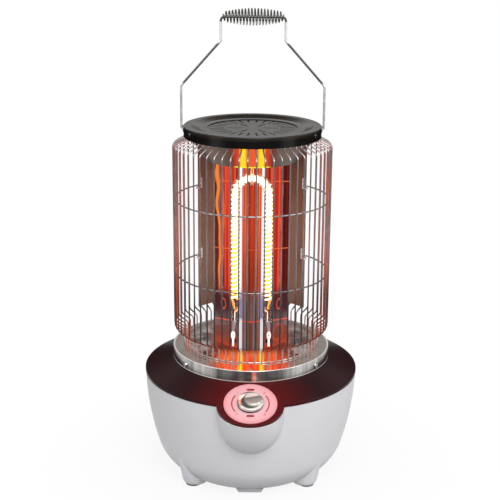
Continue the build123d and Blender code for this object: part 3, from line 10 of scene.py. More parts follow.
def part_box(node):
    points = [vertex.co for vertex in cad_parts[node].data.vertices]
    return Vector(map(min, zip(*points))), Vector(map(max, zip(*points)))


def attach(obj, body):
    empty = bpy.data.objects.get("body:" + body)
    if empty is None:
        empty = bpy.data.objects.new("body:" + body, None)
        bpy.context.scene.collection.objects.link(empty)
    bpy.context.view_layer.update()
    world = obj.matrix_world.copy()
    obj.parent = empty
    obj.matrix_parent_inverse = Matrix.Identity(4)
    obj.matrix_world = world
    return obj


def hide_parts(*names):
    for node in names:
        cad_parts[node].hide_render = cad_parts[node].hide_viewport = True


bl_info = {
    "name": "Lamp Heater with Wire Guard", "version": (1, 0, 0), "blender": (4, 5, 0),
    "location": "3D View > Sidebar > Lamp Heater",
    "description": "Dresses a free-standing lamp heater with shell, guard, lamp, cap and handle",
    "category": "Add Mesh",
}

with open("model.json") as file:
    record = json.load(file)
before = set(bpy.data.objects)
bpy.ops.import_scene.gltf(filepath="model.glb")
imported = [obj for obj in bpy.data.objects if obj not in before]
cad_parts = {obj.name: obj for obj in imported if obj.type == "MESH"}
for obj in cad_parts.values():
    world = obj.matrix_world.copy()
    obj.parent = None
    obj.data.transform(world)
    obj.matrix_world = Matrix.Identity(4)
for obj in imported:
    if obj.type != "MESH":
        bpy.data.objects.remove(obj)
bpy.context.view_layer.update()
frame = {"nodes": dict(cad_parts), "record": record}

MM = 0.001


def low(node):
    """Lowest corner of a node, in metres."""
    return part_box(node)[0]


def high(node):
    """Highest corner of a node, in metres."""
    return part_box(node)[1]


def middle(node, axis):
    """Middle of a node along one axis."""
    return (low(node)[axis] + high(node)[axis]) / 2


# Places, read from the frame where it gives them
AXIS_Y = middle("base_ring_lower", 1)
WIRE = (high("base_ring_lower").z - low("base_ring_lower").z) / 2
TRAY_R = high("base_tray").x
TRAY_TOP = high("base_tray").z
DECK_Z = low("base_tray").z
TRAY_FLOOR = low("guard_clips").z
GUARD_R = high("guard_wires").x - WIRE
CAP_TOP = high("cap").z
FRAME_Z = low("top_frame").z
SHELL_R = high("base_shell").x
SHELL_TOP = 139.5 * MM
SOLE_Z = 6.0 * MM
LAMP_Y = middle("lamp_tube", 1)
LAMP_R = (high("lamp_tube").y - low("lamp_tube").y) / 2
LAMP_X = high("lamp_tube").x - LAMP_R
LAMP_FOOT = low("lamp_tube").z
LAMP_ARCH = high("lamp_tube").z - LAMP_R - LAMP_X
PIVOT_Z = middle("handle_bushings", 2)
BAIL_X = high("handle_bail").x - (high("handle_bail").y - low("handle_bail").y) / 2
BAIL_R = (high("handle_bail").y - low("handle_bail").y) / 2
GRIP_Z = high("handle_bail").z - BAIL_R
DIAL_SLOPE = radians(22.3)
DIAL_REACH = 138.0 * MM
DIAL_Z = 145.64 * MM
DIAL_X_AXIS = Vector((1, 0, 0))
DIAL_UP = Vector((0, cos(DIAL_SLOPE), sin(DIAL_SLOPE)))
DIAL_NORMAL = Vector((0, -sin(DIAL_SLOPE), cos(DIAL_SLOPE)))
DIAL_CENTRE = Vector((0, AXIS_Y - DIAL_REACH, DIAL_Z))


class HeaterSizes(bpy.types.PropertyGroup):
    """Sizes of the heater's finer forms."""

    wire_count: bpy.props.IntProperty(
        name="Guard wires", description="Number of upright wires in the guard", default=60, min=12
    )
    wire_radius: bpy.props.FloatProperty(
        name="Wire radius", description="Half the guard wire's thickness",
        default=WIRE, subtype="DISTANCE", unit="LENGTH", precision=4,
    )
    crease_round: bpy.props.FloatProperty(
        name="Pouch crease", description="Softness of the crease between pouch and bowl",
        default=1.5 * MM, subtype="DISTANCE", unit="LENGTH", precision=4,
    )
    filament_turns: bpy.props.IntProperty(
        name="Filament turns", description="Turns of the glowing coil", default=61, min=8
    )
    grip_turns: bpy.props.IntProperty(
        name="Grip turns", description="Turns of the handle's coil", default=19, min=5
    )
    moulding_grain: bpy.props.FloatProperty(
        name="Moulding grain", description="Size of the fine grain on moulded plastic",
        default=0.6 * MM, subtype="DISTANCE", unit="LENGTH", precision=5,
    )


class HeaterColours(bpy.types.PropertyGroup):
    """Colours and light of the heater."""

    shell: bpy.props.FloatVectorProperty(
        name="Shell", description="Pale grey of the base shell",
        default=(0.635, 0.635, 0.66), size=3, subtype="COLOR", min=0, max=1,
    )
    cover: bpy.props.FloatVectorProperty(
        name="Cover", description="Dark red-brown of the top cover",
        default=(0.021, 0.0058, 0.007), size=3, subtype="COLOR", min=0, max=1,
    )
    # Painted light: a redder colour that stands in for the lamp's glow on the cover beside the
    # dial.
    cover_painted_glow: bpy.props.FloatVectorProperty(
        name="Cover near the dial", description="Redder tint of the cover beside the dial",
        default=(0.085, 0.005, 0.006), size=3, subtype="COLOR", min=0, max=1,
    )
    dial: bpy.props.FloatVectorProperty(
        name="Dial", description="Pink of the dial plate",
        default=(0.76, 0.37, 0.41), size=3, subtype="COLOR", min=0, max=1,
    )
    dial_marks: bpy.props.FloatVectorProperty(
        name="Dial marks", description="Dark red of the printed marks",
        default=(0.30, 0.010, 0.012), size=3, subtype="COLOR", min=0, max=1,
    )
    enamel: bpy.props.FloatVectorProperty(
        name="Enamel", description="Black enamel of the cap",
        default=(0.0035, 0.003, 0.003), size=3, subtype="COLOR", min=0, max=1,
    )
    shield: bpy.props.FloatVectorProperty(
        name="Shield", description="Dull brown of the rear shield",
        default=(0.37, 0.24, 0.165), size=3, subtype="COLOR", min=0, max=1,
    )
    glow: bpy.props.FloatVectorProperty(
        name="Glow", description="Colour of the hot coil",
        default=(1.0, 0.76, 0.28), size=3, subtype="COLOR", min=0, max=1,
    )
    glow_strength: bpy.props.FloatProperty(
        name="Glow strength", description="Light that the hot coil gives off", default=5.0, min=0
    )
    lamp_watts: bpy.props.FloatProperty(
        name="Lamp light", description="Warm light that the lamp casts on its neighbours",
        default=0.5, min=0, subtype="POWER", unit="POWER",
    )


def sizes():
    """The scene's size settings."""
    return bpy.context.scene.heater_sizes


def colours():
    """The scene's colour settings."""
    return bpy.context.scene.heater_colours


# Nodes


class Nodes:
    """A node tree, with short names for the steps that the finishes are made of."""

    def __init__(self, tree):
        self.tree = tree

    def give(self, socket, value):
        """Links a socket given as the value, and sets anything else."""
        if isinstance(value, bpy.types.NodeSocket):
            self.tree.links.new(value, socket)
        else:
            socket.default_value = value

    def node(self, kind, settings=(), **inputs):
        """A node with its properties and inputs; i0, i1 and i2 are inputs by number."""
        made = self.tree.nodes.new(kind)
        for key, value in dict(settings).items():
            setattr(made, key, value)
        for key, value in inputs.items():
            name = int(key[1:]) if key in ("i0", "i1", "i2") else key
            self.give(made.inputs[name], value)
        return made

    def math(self, operation, first, second=0.0, third=0.0):
        """One arithmetic step on numbers or sockets."""
        return self.node(
            "ShaderNodeMath", {"operation": operation}, i0=first, i1=second, i2=third
        ).outputs[0]

    def times(self, first, *others):
        """A product of two or more values."""
        for other in others:
            first = self.math("MULTIPLY", first, other)
        return first

    def plus(self, first, second):
        return self.math("ADD", first, second)

    def minus(self, first, second):
        return self.math("SUBTRACT", first, second)

    def over(self, first, second):
        return self.math("DIVIDE", first, second)

    def larger(self, first, second):
        return self.math("MAXIMUM", first, second)

    def magnitude(self, value):
        return self.math("ABSOLUTE", value)

    def vector(self, operation, first, second=(0.0, 0.0, 0.0)):
        """The node of one step on vectors."""
        return self.node("ShaderNodeVectorMath", {"operation": operation}, i0=first, i1=second)

    def away(self, where, centre):
        """Distance from a fixed point."""
        return self.vector("DISTANCE", where, tuple(centre)).outputs["Value"]

    def stretched(self, where, scale):
        """Coordinates scaled by axis, so that noise becomes streaks."""
        return self.vector("MULTIPLY", where, scale).outputs[0]

    def axes(self, where):
        """The three coordinates on their own."""
        made = self.node("ShaderNodeSeparateXYZ", Vector=where)
        return made.outputs["X"], made.outputs["Y"], made.outputs["Z"]

    def round_axis(self, where):
        """Coordinates turned about the guard's axis: angle, reach and height."""
        x, y, z = self.axes(where)
        y = self.minus(y, AXIS_Y)
        across = self.node("ShaderNodeCombineXYZ", X=x, Y=y).outputs[0]
        return self.math("ARCTAN2", y, x), self.vector("LENGTH", across).outputs["Value"], z

    def mapped(self, value, start, end, least, most, kind="LINEAR"):
        """Maps start..end to least..most, and stops at both."""
        made = self.node("ShaderNodeMapRange", {"interpolation_type": kind}, Value=value)
        for name, limit in (
            ("From Min", start), ("From Max", end), ("To Min", least), ("To Max", most),
        ):
            made.inputs[name].default_value = limit
        return made.outputs["Result"]

    def spread(self, value, least, most):
        """Maps 0..1 to a range."""
        return self.mapped(value, 0.0, 1.0, least, most)

    def share(self, value, start, end):
        """Runs evenly from 0 at start to 1 at end."""
        return self.mapped(value, start, end, 0.0, 1.0)

    def eased(self, value, start, end, least=0.0, most=1.0):
        """Runs smoothly from least at start to most at end."""
        return self.mapped(value, start, end, least, most, "SMOOTHSTEP")

    def band(self, value, centre, half, soft):
        """One within half of the centre, fading to 0 over the soft edge."""
        return self.eased(
            self.magnitude(self.minus(value, centre)), half + soft, max(half - soft, 0.0)
        )

    def oval(self, first, second, centre, half):
        """One on an oval's outline, less inside it and more outside."""
        across = self.over(self.minus(first, centre[0]), half[0])
        up = self.over(self.minus(second, centre[1]), half[1])
        return self.plus(self.times(across, across), self.times(up, up))

    def noise(self, where, scale, detail=3.0, rough=0.5):
        """Noise over the given coordinates."""
        made = self.node(
            "ShaderNodeTexNoise", Vector=where, Scale=scale, Detail=detail, Roughness=rough
        )
        return made.outputs["Fac"]

    def ramp(self, value, stops):
        """A colour ramp: stops are (position, colour)."""
        made = self.node("ShaderNodeValToRGB", Fac=value)
        points = made.color_ramp.elements
        while len(points) < len(stops):
            points.new(1.0)
        for point, (position, colour) in zip(points, stops):
            point.position = position
            point.color = (*colour[:3], 1.0)
        return made.outputs["Color"]

    def mixed(self, share, first, second, blend_type="MIX"):
        """Two colours mixed by a share."""
        made = self.node("ShaderNodeMix", {"data_type": "RGBA", "blend_type": blend_type}, i0=share)
        for socket, value in ((made.inputs[6], first), (made.inputs[7], second)):
            self.give(
                socket, value if isinstance(value, bpy.types.NodeSocket) else (*value[:3], 1.0)
            )
        return made.outputs[2]

    def normal(self):
        """The face's own direction."""
        return self.node("ShaderNodeNewGeometry").outputs["Normal"]

    def towards_lamp(self, where):
        """How squarely a face looks at the lamp: 1 straight at it, -1 away from it."""
        x, y, _ = self.axes(where)
        way = self.node(
            "ShaderNodeCombineXYZ", X=self.times(x, -1.0), Y=self.minus(LAMP_Y, y)
        ).outputs[0]
        unit = self.vector("NORMALIZE", way).outputs[0]
        return self.vector("DOT_PRODUCT", self.normal(), unit).outputs["Value"]

    def seen(self):
        """One for camera, glossy and transmission rays, which show the white surround."""
        path = self.node("ShaderNodeLightPath").outputs
        first = self.larger(path["Is Camera Ray"], path["Is Transmission Ray"])
        return self.larger(first, path["Is Glossy Ray"])


class Finish(Nodes):
    """A material under way. Its coordinates are metres in the shared frame."""

    def __init__(
        self, name, metallic=0.0, roughness=0.4, coat=0.0, coat_roughness=0.1, specular=0.5
    ):
        self.made = bpy.data.materials.new(name + "_finish")
        self.made.use_nodes = True
        super().__init__(self.made.node_tree)
        self.shader = self.tree.nodes["Principled BSDF"]
        self.shader.inputs["Metallic"].default_value = metallic
        self.shader.inputs["Roughness"].default_value = roughness
        self.shader.inputs["Coat Weight"].default_value = coat
        self.shader.inputs["Coat Roughness"].default_value = coat_roughness
        self.shader.inputs["Specular IOR Level"].default_value = specular
        self.where = self.node("ShaderNodeTexCoord").outputs["Object"]

    def feed(self, name, value):
        """Links a value to one of the shader's inputs."""
        self.tree.links.new(value, self.shader.inputs[name])

    def bump(self, height, strength, distance):
        """Feeds a height into the shader's normal."""
        made = self.node("ShaderNodeBump", Height=height, Strength=strength, Distance=distance)
        self.feed("Normal", made.outputs["Normal"])

    def lit(self, colour, strength):
        """The lamp's light on a face, as the face gives it back."""
        self.feed("Emission Color", colour)
        self.feed("Emission Strength", strength)


def shaded(colour, share):
    """A colour made darker or lighter by a share."""
    return [channel * share for channel in colour]


# Finishes


def moulded(name, colour, roughness, grain=0.25):
    """Moulded plastic: faint cloudiness, fine grain and a satin face."""
    f = Finish(name, roughness=roughness)
    where = f.where
    cloud = f.noise(where, 22.0)
    darker = shaded(colour, 0.95)
    lighter = [min(1, channel * 1.05) for channel in colour]
    tint = f.ramp(cloud, [(0.3, darker), (0.7, lighter)])
    f.feed("Base Color", tint)
    fine = f.noise(where, 1 / sizes().moulding_grain, 2.0)
    f.feed("Roughness", f.spread(fine, roughness * 0.85, roughness * 1.2))
    f.bump(fine, grain, 0.05 * MM)
    return f.made


def shell_finish(name):
    """Pale grey plastic, with a painted highlight along the upward-facing moulded edge round its
    mouth, and painted shade on faces that turn down.
    """
    f = Finish(name, roughness=0.42)
    where = f.where
    base = colours().shell
    tint = f.ramp(f.noise(where, 22.0), [(0.3, shaded(base, 0.985)), (0.7, shaded(base, 1.015))])
    _, _, up = f.axes(f.normal())
    _, _, z = f.axes(where)
    # Painted highlight: faces that look up near the mouth's edge are painted near white.
    edge = f.times(f.eased(up, 0.35, 0.80), f.eased(z, 0.105, 0.120))
    # Painted shade: faces that turn down are painted darker.
    under = f.times(f.eased(up, -0.25, -0.85), 0.9)
    tint = f.mixed(under, tint, shaded(base, 0.56))
    f.feed("Base Color", f.mixed(edge, tint, (0.95, 0.95, 0.96)))
    fine = f.noise(where, 1 / sizes().moulding_grain, 2.0)
    f.feed("Roughness", f.spread(fine, 0.36, 0.50))
    f.bump(fine, 0.25, 0.05 * MM)
    return f.made


def cover_finish(_):
    """Glossy dark red-brown plastic, painted redder beside the dial for the lamp's glow on it."""
    f = Finish("cover_gloss", roughness=0.34, specular=0.09)
    # Painted light: the cover is painted redder close to the dial.
    near = f.eased(f.away(f.where, DIAL_CENTRE), 20 * MM, 100 * MM)
    f.feed("Base Color", f.ramp(near, [(0.0, colours().cover_painted_glow), (1.0, colours().cover)]))
    fine = f.noise(f.where, 900.0, 2.0)
    f.feed("Roughness", f.spread(fine, 0.30, 0.40))
    f.bump(fine, 0.15, 0.04 * MM)
    return f.made


def brushed(name, colour, roughness, streak=(20.0, 20.0, 20.0)):
    """Bright metal with fine streaks."""
    f = Finish(name, metallic=1.0, roughness=roughness)
    where = f.stretched(f.where, streak)
    lines = f.noise(where, 160.0, 4.0, 0.6)
    soft = f.noise(where, 18.0, 2.0)
    f.feed("Base Color", f.ramp(soft, [(0.3, shaded(colour, 0.88)), (0.7, colour)]))
    f.feed("Roughness", f.spread(lines, roughness * 0.75, roughness * 1.35))
    f.bump(lines, 0.2, 0.03 * MM)
    return f.made


def plated(name, colour, roughness=0.14, painted_lamp_light_and_shade=False, darkened_zones=()):
    """Plated round wire: bright, with soft darker, rougher patches and the given darkened zones; on
    the guard, painted orange light where it faces the lamp, painted shade low down and a paler
    painted grey at its feet.
    """
    f = Finish(name, metallic=0.7, roughness=roughness)
    where = f.where
    patch = f.noise(where, 90.0, 3.0)
    darker = shaded(colour, 0.80)
    tint = f.ramp(patch, [(0.35, darker), (0.65, colour)])
    _, y, z = f.axes(where)
    # Darkened zones: on the handle, the first is a painted dark reflection over the bail's slanting
    # arms, the second makes the bail darker round its grip.
    for start, end, dark_tone in darkened_zones:
        zone = f.times(f.eased(z, start, start + 2 * MM), f.eased(z, end, end - 2 * MM))
        tint = f.mixed(zone, tint, dark_tone)
    if painted_lamp_light_and_shade:
        # Painted shade: the guard's wires are painted much darker below about 0.25 m.
        tint = f.mixed(f.eased(z, 0.245, 0.310), shaded(colour, 0.17), tint)
        # Painted light: the wires' feet and the rings there are painted a paler grey.
        tint = f.mixed(f.eased(z, 0.199, 0.193), tint, (0.55, 0.52, 0.50))
    f.feed("Base Color", tint)
    f.feed("Roughness", f.spread(patch, roughness * 0.7, roughness * 1.5))
    f.bump(f.noise(where, 1400.0, 2.0), 0.10, 0.02 * MM)
    if painted_lamp_light_and_shade:
        # Painted light: where a wire faces the lamp in front, it gives off orange light over a
        # darkened base.
        facing = f.eased(f.towards_lamp(where), 0.10, 0.85)
        front = f.eased(y, AXIS_Y + 50 * MM, AXIS_Y - 10 * MM)
        upper = f.eased(z, TRAY_FLOOR - 10 * MM, TRAY_FLOOR + 10 * MM)
        share = f.times(facing, f.times(front, upper))
        f.feed("Base Color", f.mixed(share, tint, (0.07, 0.045, 0.04)))
        painted_light = f.ramp(patch, [(0.3, (0.62, 0.050, 0.014)), (0.7, (0.95, 0.16, 0.05))])
        f.lit(painted_light, f.times(share, 0.66))
    return f.made


def lead_finish(name):
    """Bright lamp leads and tabs, with the coil's light on them painted on as a glow, orange
    towards the top.
    """
    f = Finish(name, metallic=0.35, roughness=0.3)
    where = f.where
    _, _, z = f.axes(where)
    patch = f.noise(where, 120.0, 3.0)
    tint = f.ramp(patch, [(0.35, (0.72, 0.70, 0.71)), (0.65, (0.95, 0.94, 0.95))])
    f.feed("Base Color", tint)
    f.feed("Roughness", f.spread(patch, 0.2, 0.4))
    # Painted light: the leads give off their own colour, turning orange near the top and stronger
    # higher up.
    painted_light = f.mixed(f.eased(z, 0.214, 0.226), tint, (1.0, 0.36, 0.05))
    within = f.eased(z, 0.35, 0.30)
    strength = f.times(within, f.spread(f.eased(z, 0.212, 0.230), 0.80, 1.8))
    f.lit(painted_light, strength)
    return f.made


def mirror_finish(name):
    """Folded reflector, all painted reflection given off as emission: the lamp's glow fiery in the
    middle and deep red on the wings, bright reflections of the legs, cool blue-grey low down, over
    a dark sheet.
    """
    f = Finish(name, metallic=0.9, roughness=0.1)
    where = f.where
    x, _, z = f.axes(where)
    across = f.magnitude(x)
    wave = f.noise(f.stretched(where, (30.0, 30.0, 16.0)), 1.0, 2.0)
    stripes = f.noise(f.stretched(where, (330.0, 20.0, 1.4)), 1.0, 3.0, 0.65)
    # Painted reflections: every colour from here on is given off as emission, standing in for what
    # the mirror shows of the lamp's glow, its legs and the guard.
    fiery = (0.66, 0.070, 0.016)
    red = (0.62, 0.034, 0.018)
    ember = (0.13, 0.012, 0.008)
    share = f.share(across, 0.0, 50 * MM)
    hot = f.ramp(
        share,
        [
            (0.0, (0.44, 0.034, 0.012)), (0.24, fiery), (0.36, (0.70, 0.055, 0.018)), (0.56, red),
            (0.72, red), (0.82, ember), (1.0, ember),
        ],
    )
    lined = f.ramp(
        stripes,
        [
            (0.38, (0.32, 0.40, 0.60)), (0.46, (0.85, 0.85, 0.85)), (0.53, (1.0, 0.95, 0.95)),
            (0.60, (1.4, 2.6, 2.4)),
        ],
    )
    hot = f.mixed(1.0, hot, lined, "MULTIPLY")
    # Painted cool blue-grey reflection low in the middle.
    cool_reflection = f.times(f.eased(z, 0.345, 0.270), f.eased(across, 20 * MM, 10 * MM))
    hot = f.mixed(cool_reflection, hot, f.mixed(1.0, hot, (0.52, 0.62, 0.62), "MULTIPLY"))
    wander = f.spread(wave, -7 * MM, 7 * MM)
    strayed = f.plus(x, wander)
    beyond = f.eased(across, 30 * MM, 35 * MM)
    # Painted reflected flares on the left wing, and one on the right.
    for centre, half, tint in (
        (-44.0, 1.7, (1.0, 0.26, 0.03)), (-38.5, 1.2, (0.95, 0.13, 0.025)),
        (-41.4, 0.8, (0.25, 0.10, 0.14)),
    ):
        flare = f.times(f.band(strayed, centre * MM, half * MM, 0.5 * MM), beyond)
        hot = f.mixed(flare, hot, tint)
    hot = f.mixed(f.band(strayed, 39.0 * MM, 0.9 * MM, 0.5 * MM), hot, (0.9, 0.13, 0.03))
    # Painted orange reflections of the guard's two rings across the wings.
    wings = f.eased(across, 25 * MM, 27 * MM)
    level = f.math("MULTIPLY_ADD", f.larger(across, 26 * MM), 0.26, z)
    for height in (0.3995, 0.309):
        ring = f.times(
            f.band(level, height + 0.26 * 26 * MM, 0.6 * MM, 0.5 * MM), f.spread(wings, 0.35, 1.0)
        )
        hot = f.mixed(ring, hot, (1.0, 0.15, 0.035))
    # Painted lilac edge and bright reflection of each leg.
    for centre, half, tint in ((12.6, 0.7, (0.42, 0.20, 0.38)), (14.8, 1.9, (1.15, 1.1, 1.05))):
        hot = f.mixed(f.band(across, centre * MM, half * MM, 0.5 * MM), hot, tint)
    # Painted reflections at the foot: red fading to dark lilac on the wings, brown and lilac
    # stripes in the middle.
    foot_height = f.share(z, TRAY_FLOOR, TRAY_FLOOR + 75 * MM)
    wing_foot = f.ramp(
        foot_height,
        [
            (0.0, (0.55, 0.06, 0.022)), (0.17, (0.26, 0.055, 0.035)), (0.40, (0.17, 0.075, 0.070)),
            (0.52, (0.060, 0.022, 0.028)), (1.0, (0.08, 0.02, 0.025)),
        ],
    )
    middle_foot = f.ramp(
        stripes,
        [(0.36, (0.07, 0.030, 0.018)), (0.50, (0.18, 0.075, 0.045)), (0.62, (0.26, 0.22, 0.30))],
    )
    foot = f.mixed(f.eased(across, 15 * MM, 18 * MM), middle_foot, wing_foot)
    # Painted reflections of the legs as bars, lilac low down and white above.
    bar_tint = f.mixed(f.eased(z, 0.216, 0.210), (0.28, 0.27, 0.45), (0.95, 0.95, 0.97))
    foot = f.mixed(f.band(across, 14.2 * MM, 2.2 * MM, 0.4 * MM), foot, bar_tint)
    # Painted orange reflected line along the foot.
    edge_line = f.times(
        f.band(level, 0.2095 + 0.26 * 26 * MM, 0.9 * MM, 0.5 * MM),
        f.larger(wings, f.eased(across, 12.4 * MM, 11.6 * MM)),
    )
    foot = f.mixed(edge_line, foot, (0.85, 0.075, 0.02))
    # Painted orange reflected loop on the right wing, and reflected tongues of light on both wings.
    loop = f.oval(x, z, (36 * MM, 0.189), (7.0 * MM, 10.5 * MM))
    foot = f.mixed(f.band(loop, 1.0, 0.20, 0.20), foot, (0.72, 0.07, 0.02))
    painted_flame = f.oval(across, z, (37 * MM, 0.229), (3.2 * MM, 7.5 * MM))
    foot = f.mixed(f.band(painted_flame, 0.9, 0.35, 0.25), foot, (0.80, 0.10, 0.03))
    rise = f.eased(z, 0.236, 0.260)
    colour = f.mixed(rise, foot, hot)
    f.lit(colour, f.spread(rise, 0.75, 0.92))
    # The sheet's colour under the painted emission: dark grey low down, and higher up a dark red
    # that is painted light too.
    sheet = f.mixed(rise, (0.075, 0.055, 0.055), (0.10, 0.012, 0.010))
    f.feed("Base Color", sheet)
    f.feed("Roughness", f.spread(wave, 0.05, 0.14))
    f.bump(wave, 0.12, 0.6 * MM)
    return f.made


def tray_finish(name):
    """Brushed tray, with painted light: the lamp's glow and the legs' yellow reflections in front,
    glints and a paler ledge aside, an orange reflection on its wall and highlights along the wall's
    top and bottom edges.
    """
    f = Finish(name, metallic=1.0, roughness=0.2)
    where = f.where
    x, y, z = f.axes(where)
    angle, reach, height = f.round_axis(where)
    turned = f.node("ShaderNodeCombineXYZ", X=angle, Y=reach, Z=height)
    lines = f.noise(f.stretched(turned.outputs[0], (0.6, 9.0, 9.0)), 160.0, 4.0, 0.6)
    soft = f.noise(f.stretched(turned.outputs[0], (3.0, 1.0, 1.0)), 4.0, 2.0)
    tint = f.ramp(soft, [(0.3, (0.30, 0.285, 0.275)), (0.7, (0.60, 0.585, 0.565))])
    f.feed("Roughness", f.spread(lines, 0.14, 0.28))
    f.bump(lines, 0.2, 0.03 * MM)
    across = f.magnitude(x)
    # Painted reflection of the lamp's glow, in streaks.
    streaks = f.noise(f.stretched(where, (140.0, 14.0, 14.0)), 1.0, 3.0)
    painted_light = f.ramp(
        streaks,
        [(0.35, (0.62, 0.045, 0.012)), (0.5, (0.90, 0.085, 0.020)), (0.68, (1.0, 0.24, 0.05))],
    )
    # Painted yellow reflections of the lamp's legs.
    painted_light = f.mixed(f.band(across, 14.0 * MM, 3.4 * MM, 2.0 * MM), painted_light, (1.0, 0.32, 0.02))
    painted_light = f.mixed(f.band(across, 13.6 * MM, 1.5 * MM, 0.9 * MM), painted_light, (1.0, 0.80, 0.02))
    # Painted glints aside, and a paler painted ledge further out.
    glints = f.noise(f.stretched(where, (42.0, 42.0, 42.0)), 1.0, 4.0, 0.6)
    pale = f.ramp(
        glints,
        [(0.42, (0.03, 0.025, 0.022)), (0.50, (0.20, 0.15, 0.13)), (0.60, (0.62, 0.58, 0.56))],
    )
    aside = f.eased(across, 40 * MM, 62 * MM)
    pale = f.mixed(f.eased(reach, 80 * MM, 90 * MM), pale, (0.36, 0.31, 0.275))
    painted_light = f.mixed(aside, painted_light, pale)
    # Where the painted light shows: inside the wall, ahead of the lamp and aside, fading outwards;
    # the base is darkened under it.
    inside = f.eased(reach, TRAY_R - 0.4 * MM, TRAY_R - 1.4 * MM)
    ahead = f.larger(f.eased(y, LAMP_Y + 16 * MM, LAMP_Y - 22 * MM), aside)
    fade = f.spread(f.eased(across, 28 * MM, 58 * MM), 1.0, 0.45)
    share = f.times(inside, f.times(ahead, fade))
    f.feed("Base Color", f.mixed(share, tint, (0.09, 0.03, 0.02)))
    # Painted orange reflection on the outer wall, just right of the front.
    painted_rim_reflection = f.times(
        f.band(x, 4.0 * MM, 2.2 * MM, 2.0 * MM),
        f.times(f.eased(y, 0.0, -40 * MM), f.eased(reach, TRAY_R - 1.4 * MM, TRAY_R - 0.4 * MM)),
    )
    # Painted highlight along the top and bottom edges of the wall.
    painted_hem_highlight = f.times(
        f.eased(reach, TRAY_R - 2.4 * MM, TRAY_R - 2.0 * MM),
        f.larger(
            f.eased(z, TRAY_TOP - 0.9 * MM, TRAY_TOP - 0.4 * MM),
            f.eased(z, DECK_Z + 1.2 * MM, DECK_Z + 0.7 * MM),
        ),
    )
    painted_light = f.mixed(painted_hem_highlight, painted_light, (0.80, 0.78, 0.74))
    glow = f.larger(share, f.times(painted_rim_reflection, 0.7))
    f.lit(painted_light, f.larger(glow, f.times(painted_hem_highlight, 0.55)))
    return f.made


def deflector_finish(name):
    """Deflector sheet: grey-brown from heat, with the lamp's glow, the legs' yellow reflections and
    a bright lower rim painted on in front.
    """
    f = Finish(name, metallic=0.7, roughness=0.34)
    where = f.where
    x, y, z = f.axes(where)
    across = f.magnitude(x)
    soft = f.noise(where, 26.0, 2.0)
    tint = f.ramp(soft, [(0.3, (0.10, 0.075, 0.062)), (0.7, (0.18, 0.145, 0.12))])
    f.feed("Base Color", tint)
    f.feed("Roughness", f.spread(f.noise(where, 300.0), 0.28, 0.40))
    # Painted reflection of the lamp's glow across the front.
    share = f.share(across, 0.0, 32 * MM)
    painted_light = f.ramp(
        share,
        [
            (0.0, (0.80, 0.095, 0.022)), (0.22, (0.78, 0.12, 0.03)), (0.60, (0.62, 0.035, 0.008)),
            (0.76, (0.16, 0.022, 0.010)), (1.0, (0.07, 0.02, 0.012)),
        ],
    )
    # Painted yellow reflections of the lamp's legs.
    painted_light = f.mixed(f.band(across, 11.4 * MM, 3.7 * MM, 1.6 * MM), painted_light, (1.0, 0.72, 0.015))
    # Painted highlight on the lower rim.
    rim = f.times(f.eased(z, 0.4292, 0.4282), f.eased(across, 24 * MM, 19 * MM))
    painted_light = f.mixed(rim, painted_light, (1.0, 0.86, 0.03))
    # Where the painted light shows, in front; the base is darkened under it.
    ahead = f.eased(y, -10 * MM, -40 * MM)
    glow = f.times(ahead, f.eased(across, 34 * MM, 24 * MM))
    f.feed("Base Color", f.mixed(glow, tint, (0.05, 0.02, 0.012)))
    f.lit(painted_light, glow)
    return f.made


def shield_finish(_):
    """Dull sheet, brown from heat, streaked upright."""
    f = Finish("shield_heat_tint", metallic=0.1, roughness=0.46)
    where = f.where
    streaks = f.noise(f.stretched(where, (60.0, 60.0, 4.0)), 1.0, 4.0)
    stain = f.noise(where, 14.0, 3.0)
    base = colours().shield
    tint = f.ramp(
        stain,
        [
            (0.3, shaded(base, 0.75)), (0.55, base),
            (0.8, [base[0] * 1.1, base[1] * 1.25, base[2] * 1.5]),
        ],
    )
    f.feed("Base Color", tint)
    f.feed("Roughness", f.spread(streaks, 0.36, 0.56))
    f.bump(streaks, 0.2, 0.05 * MM)
    return f.made


def enamel_finish(name):
    """Black baked enamel with a fine orange-peel face, its top painted a lighter warm grey for
    sheen.
    """
    f = Finish(name, roughness=0.26, specular=0.24)
    where = f.where
    peel = f.noise(where, 700.0, 2.0)
    _, _, z = f.axes(where)
    base = colours().enamel
    tint = f.ramp(f.noise(where, 30.0), [(0.3, base), (0.7, shaded(base, 1.6))])
    # Painted sheen: the top is painted a lighter warm grey.
    tint = f.mixed(f.eased(z, CAP_TOP - 6 * MM, CAP_TOP - 3 * MM), tint, (0.017, 0.0135, 0.010))
    f.feed("Base Color", tint)
    f.feed("Roughness", f.spread(peel, 0.22, 0.30))
    f.bump(peel, 0.12, 0.03 * MM)
    return f.made


def glow_finish(name):
    """Hot coil: pale yellow where a turn faces out, orange in between, redder at its cool ends."""
    f = Finish(name, roughness=0.6)
    _, _, z = f.axes(f.where)
    outward = f.node("ShaderNodeAttribute", {"attribute_name": "outward"}).outputs["Fac"]
    level = f.math("MULTIPLY_ADD", f.noise(f.where, 220.0, 2.0), 0.16, outward)
    stops = [
        (0.15, (1.0, 0.36, 0.03)), (0.50, (1.0, 0.62, 0.06)), (0.80, colours().glow),
        (1.0, (1.0, 0.90, 0.62)),
    ]
    colour = f.ramp(level, stops)
    f.feed("Base Color", colour)
    bright = f.eased(level, 0.15, 0.85, 1.6, colours().glow_strength)
    heat = f.share(z, LAMP_FOOT + 18 * MM, LAMP_FOOT + 48 * MM)
    f.lit(colour, f.times(bright, f.spread(heat, 0.35, 1.0)))
    return f.made


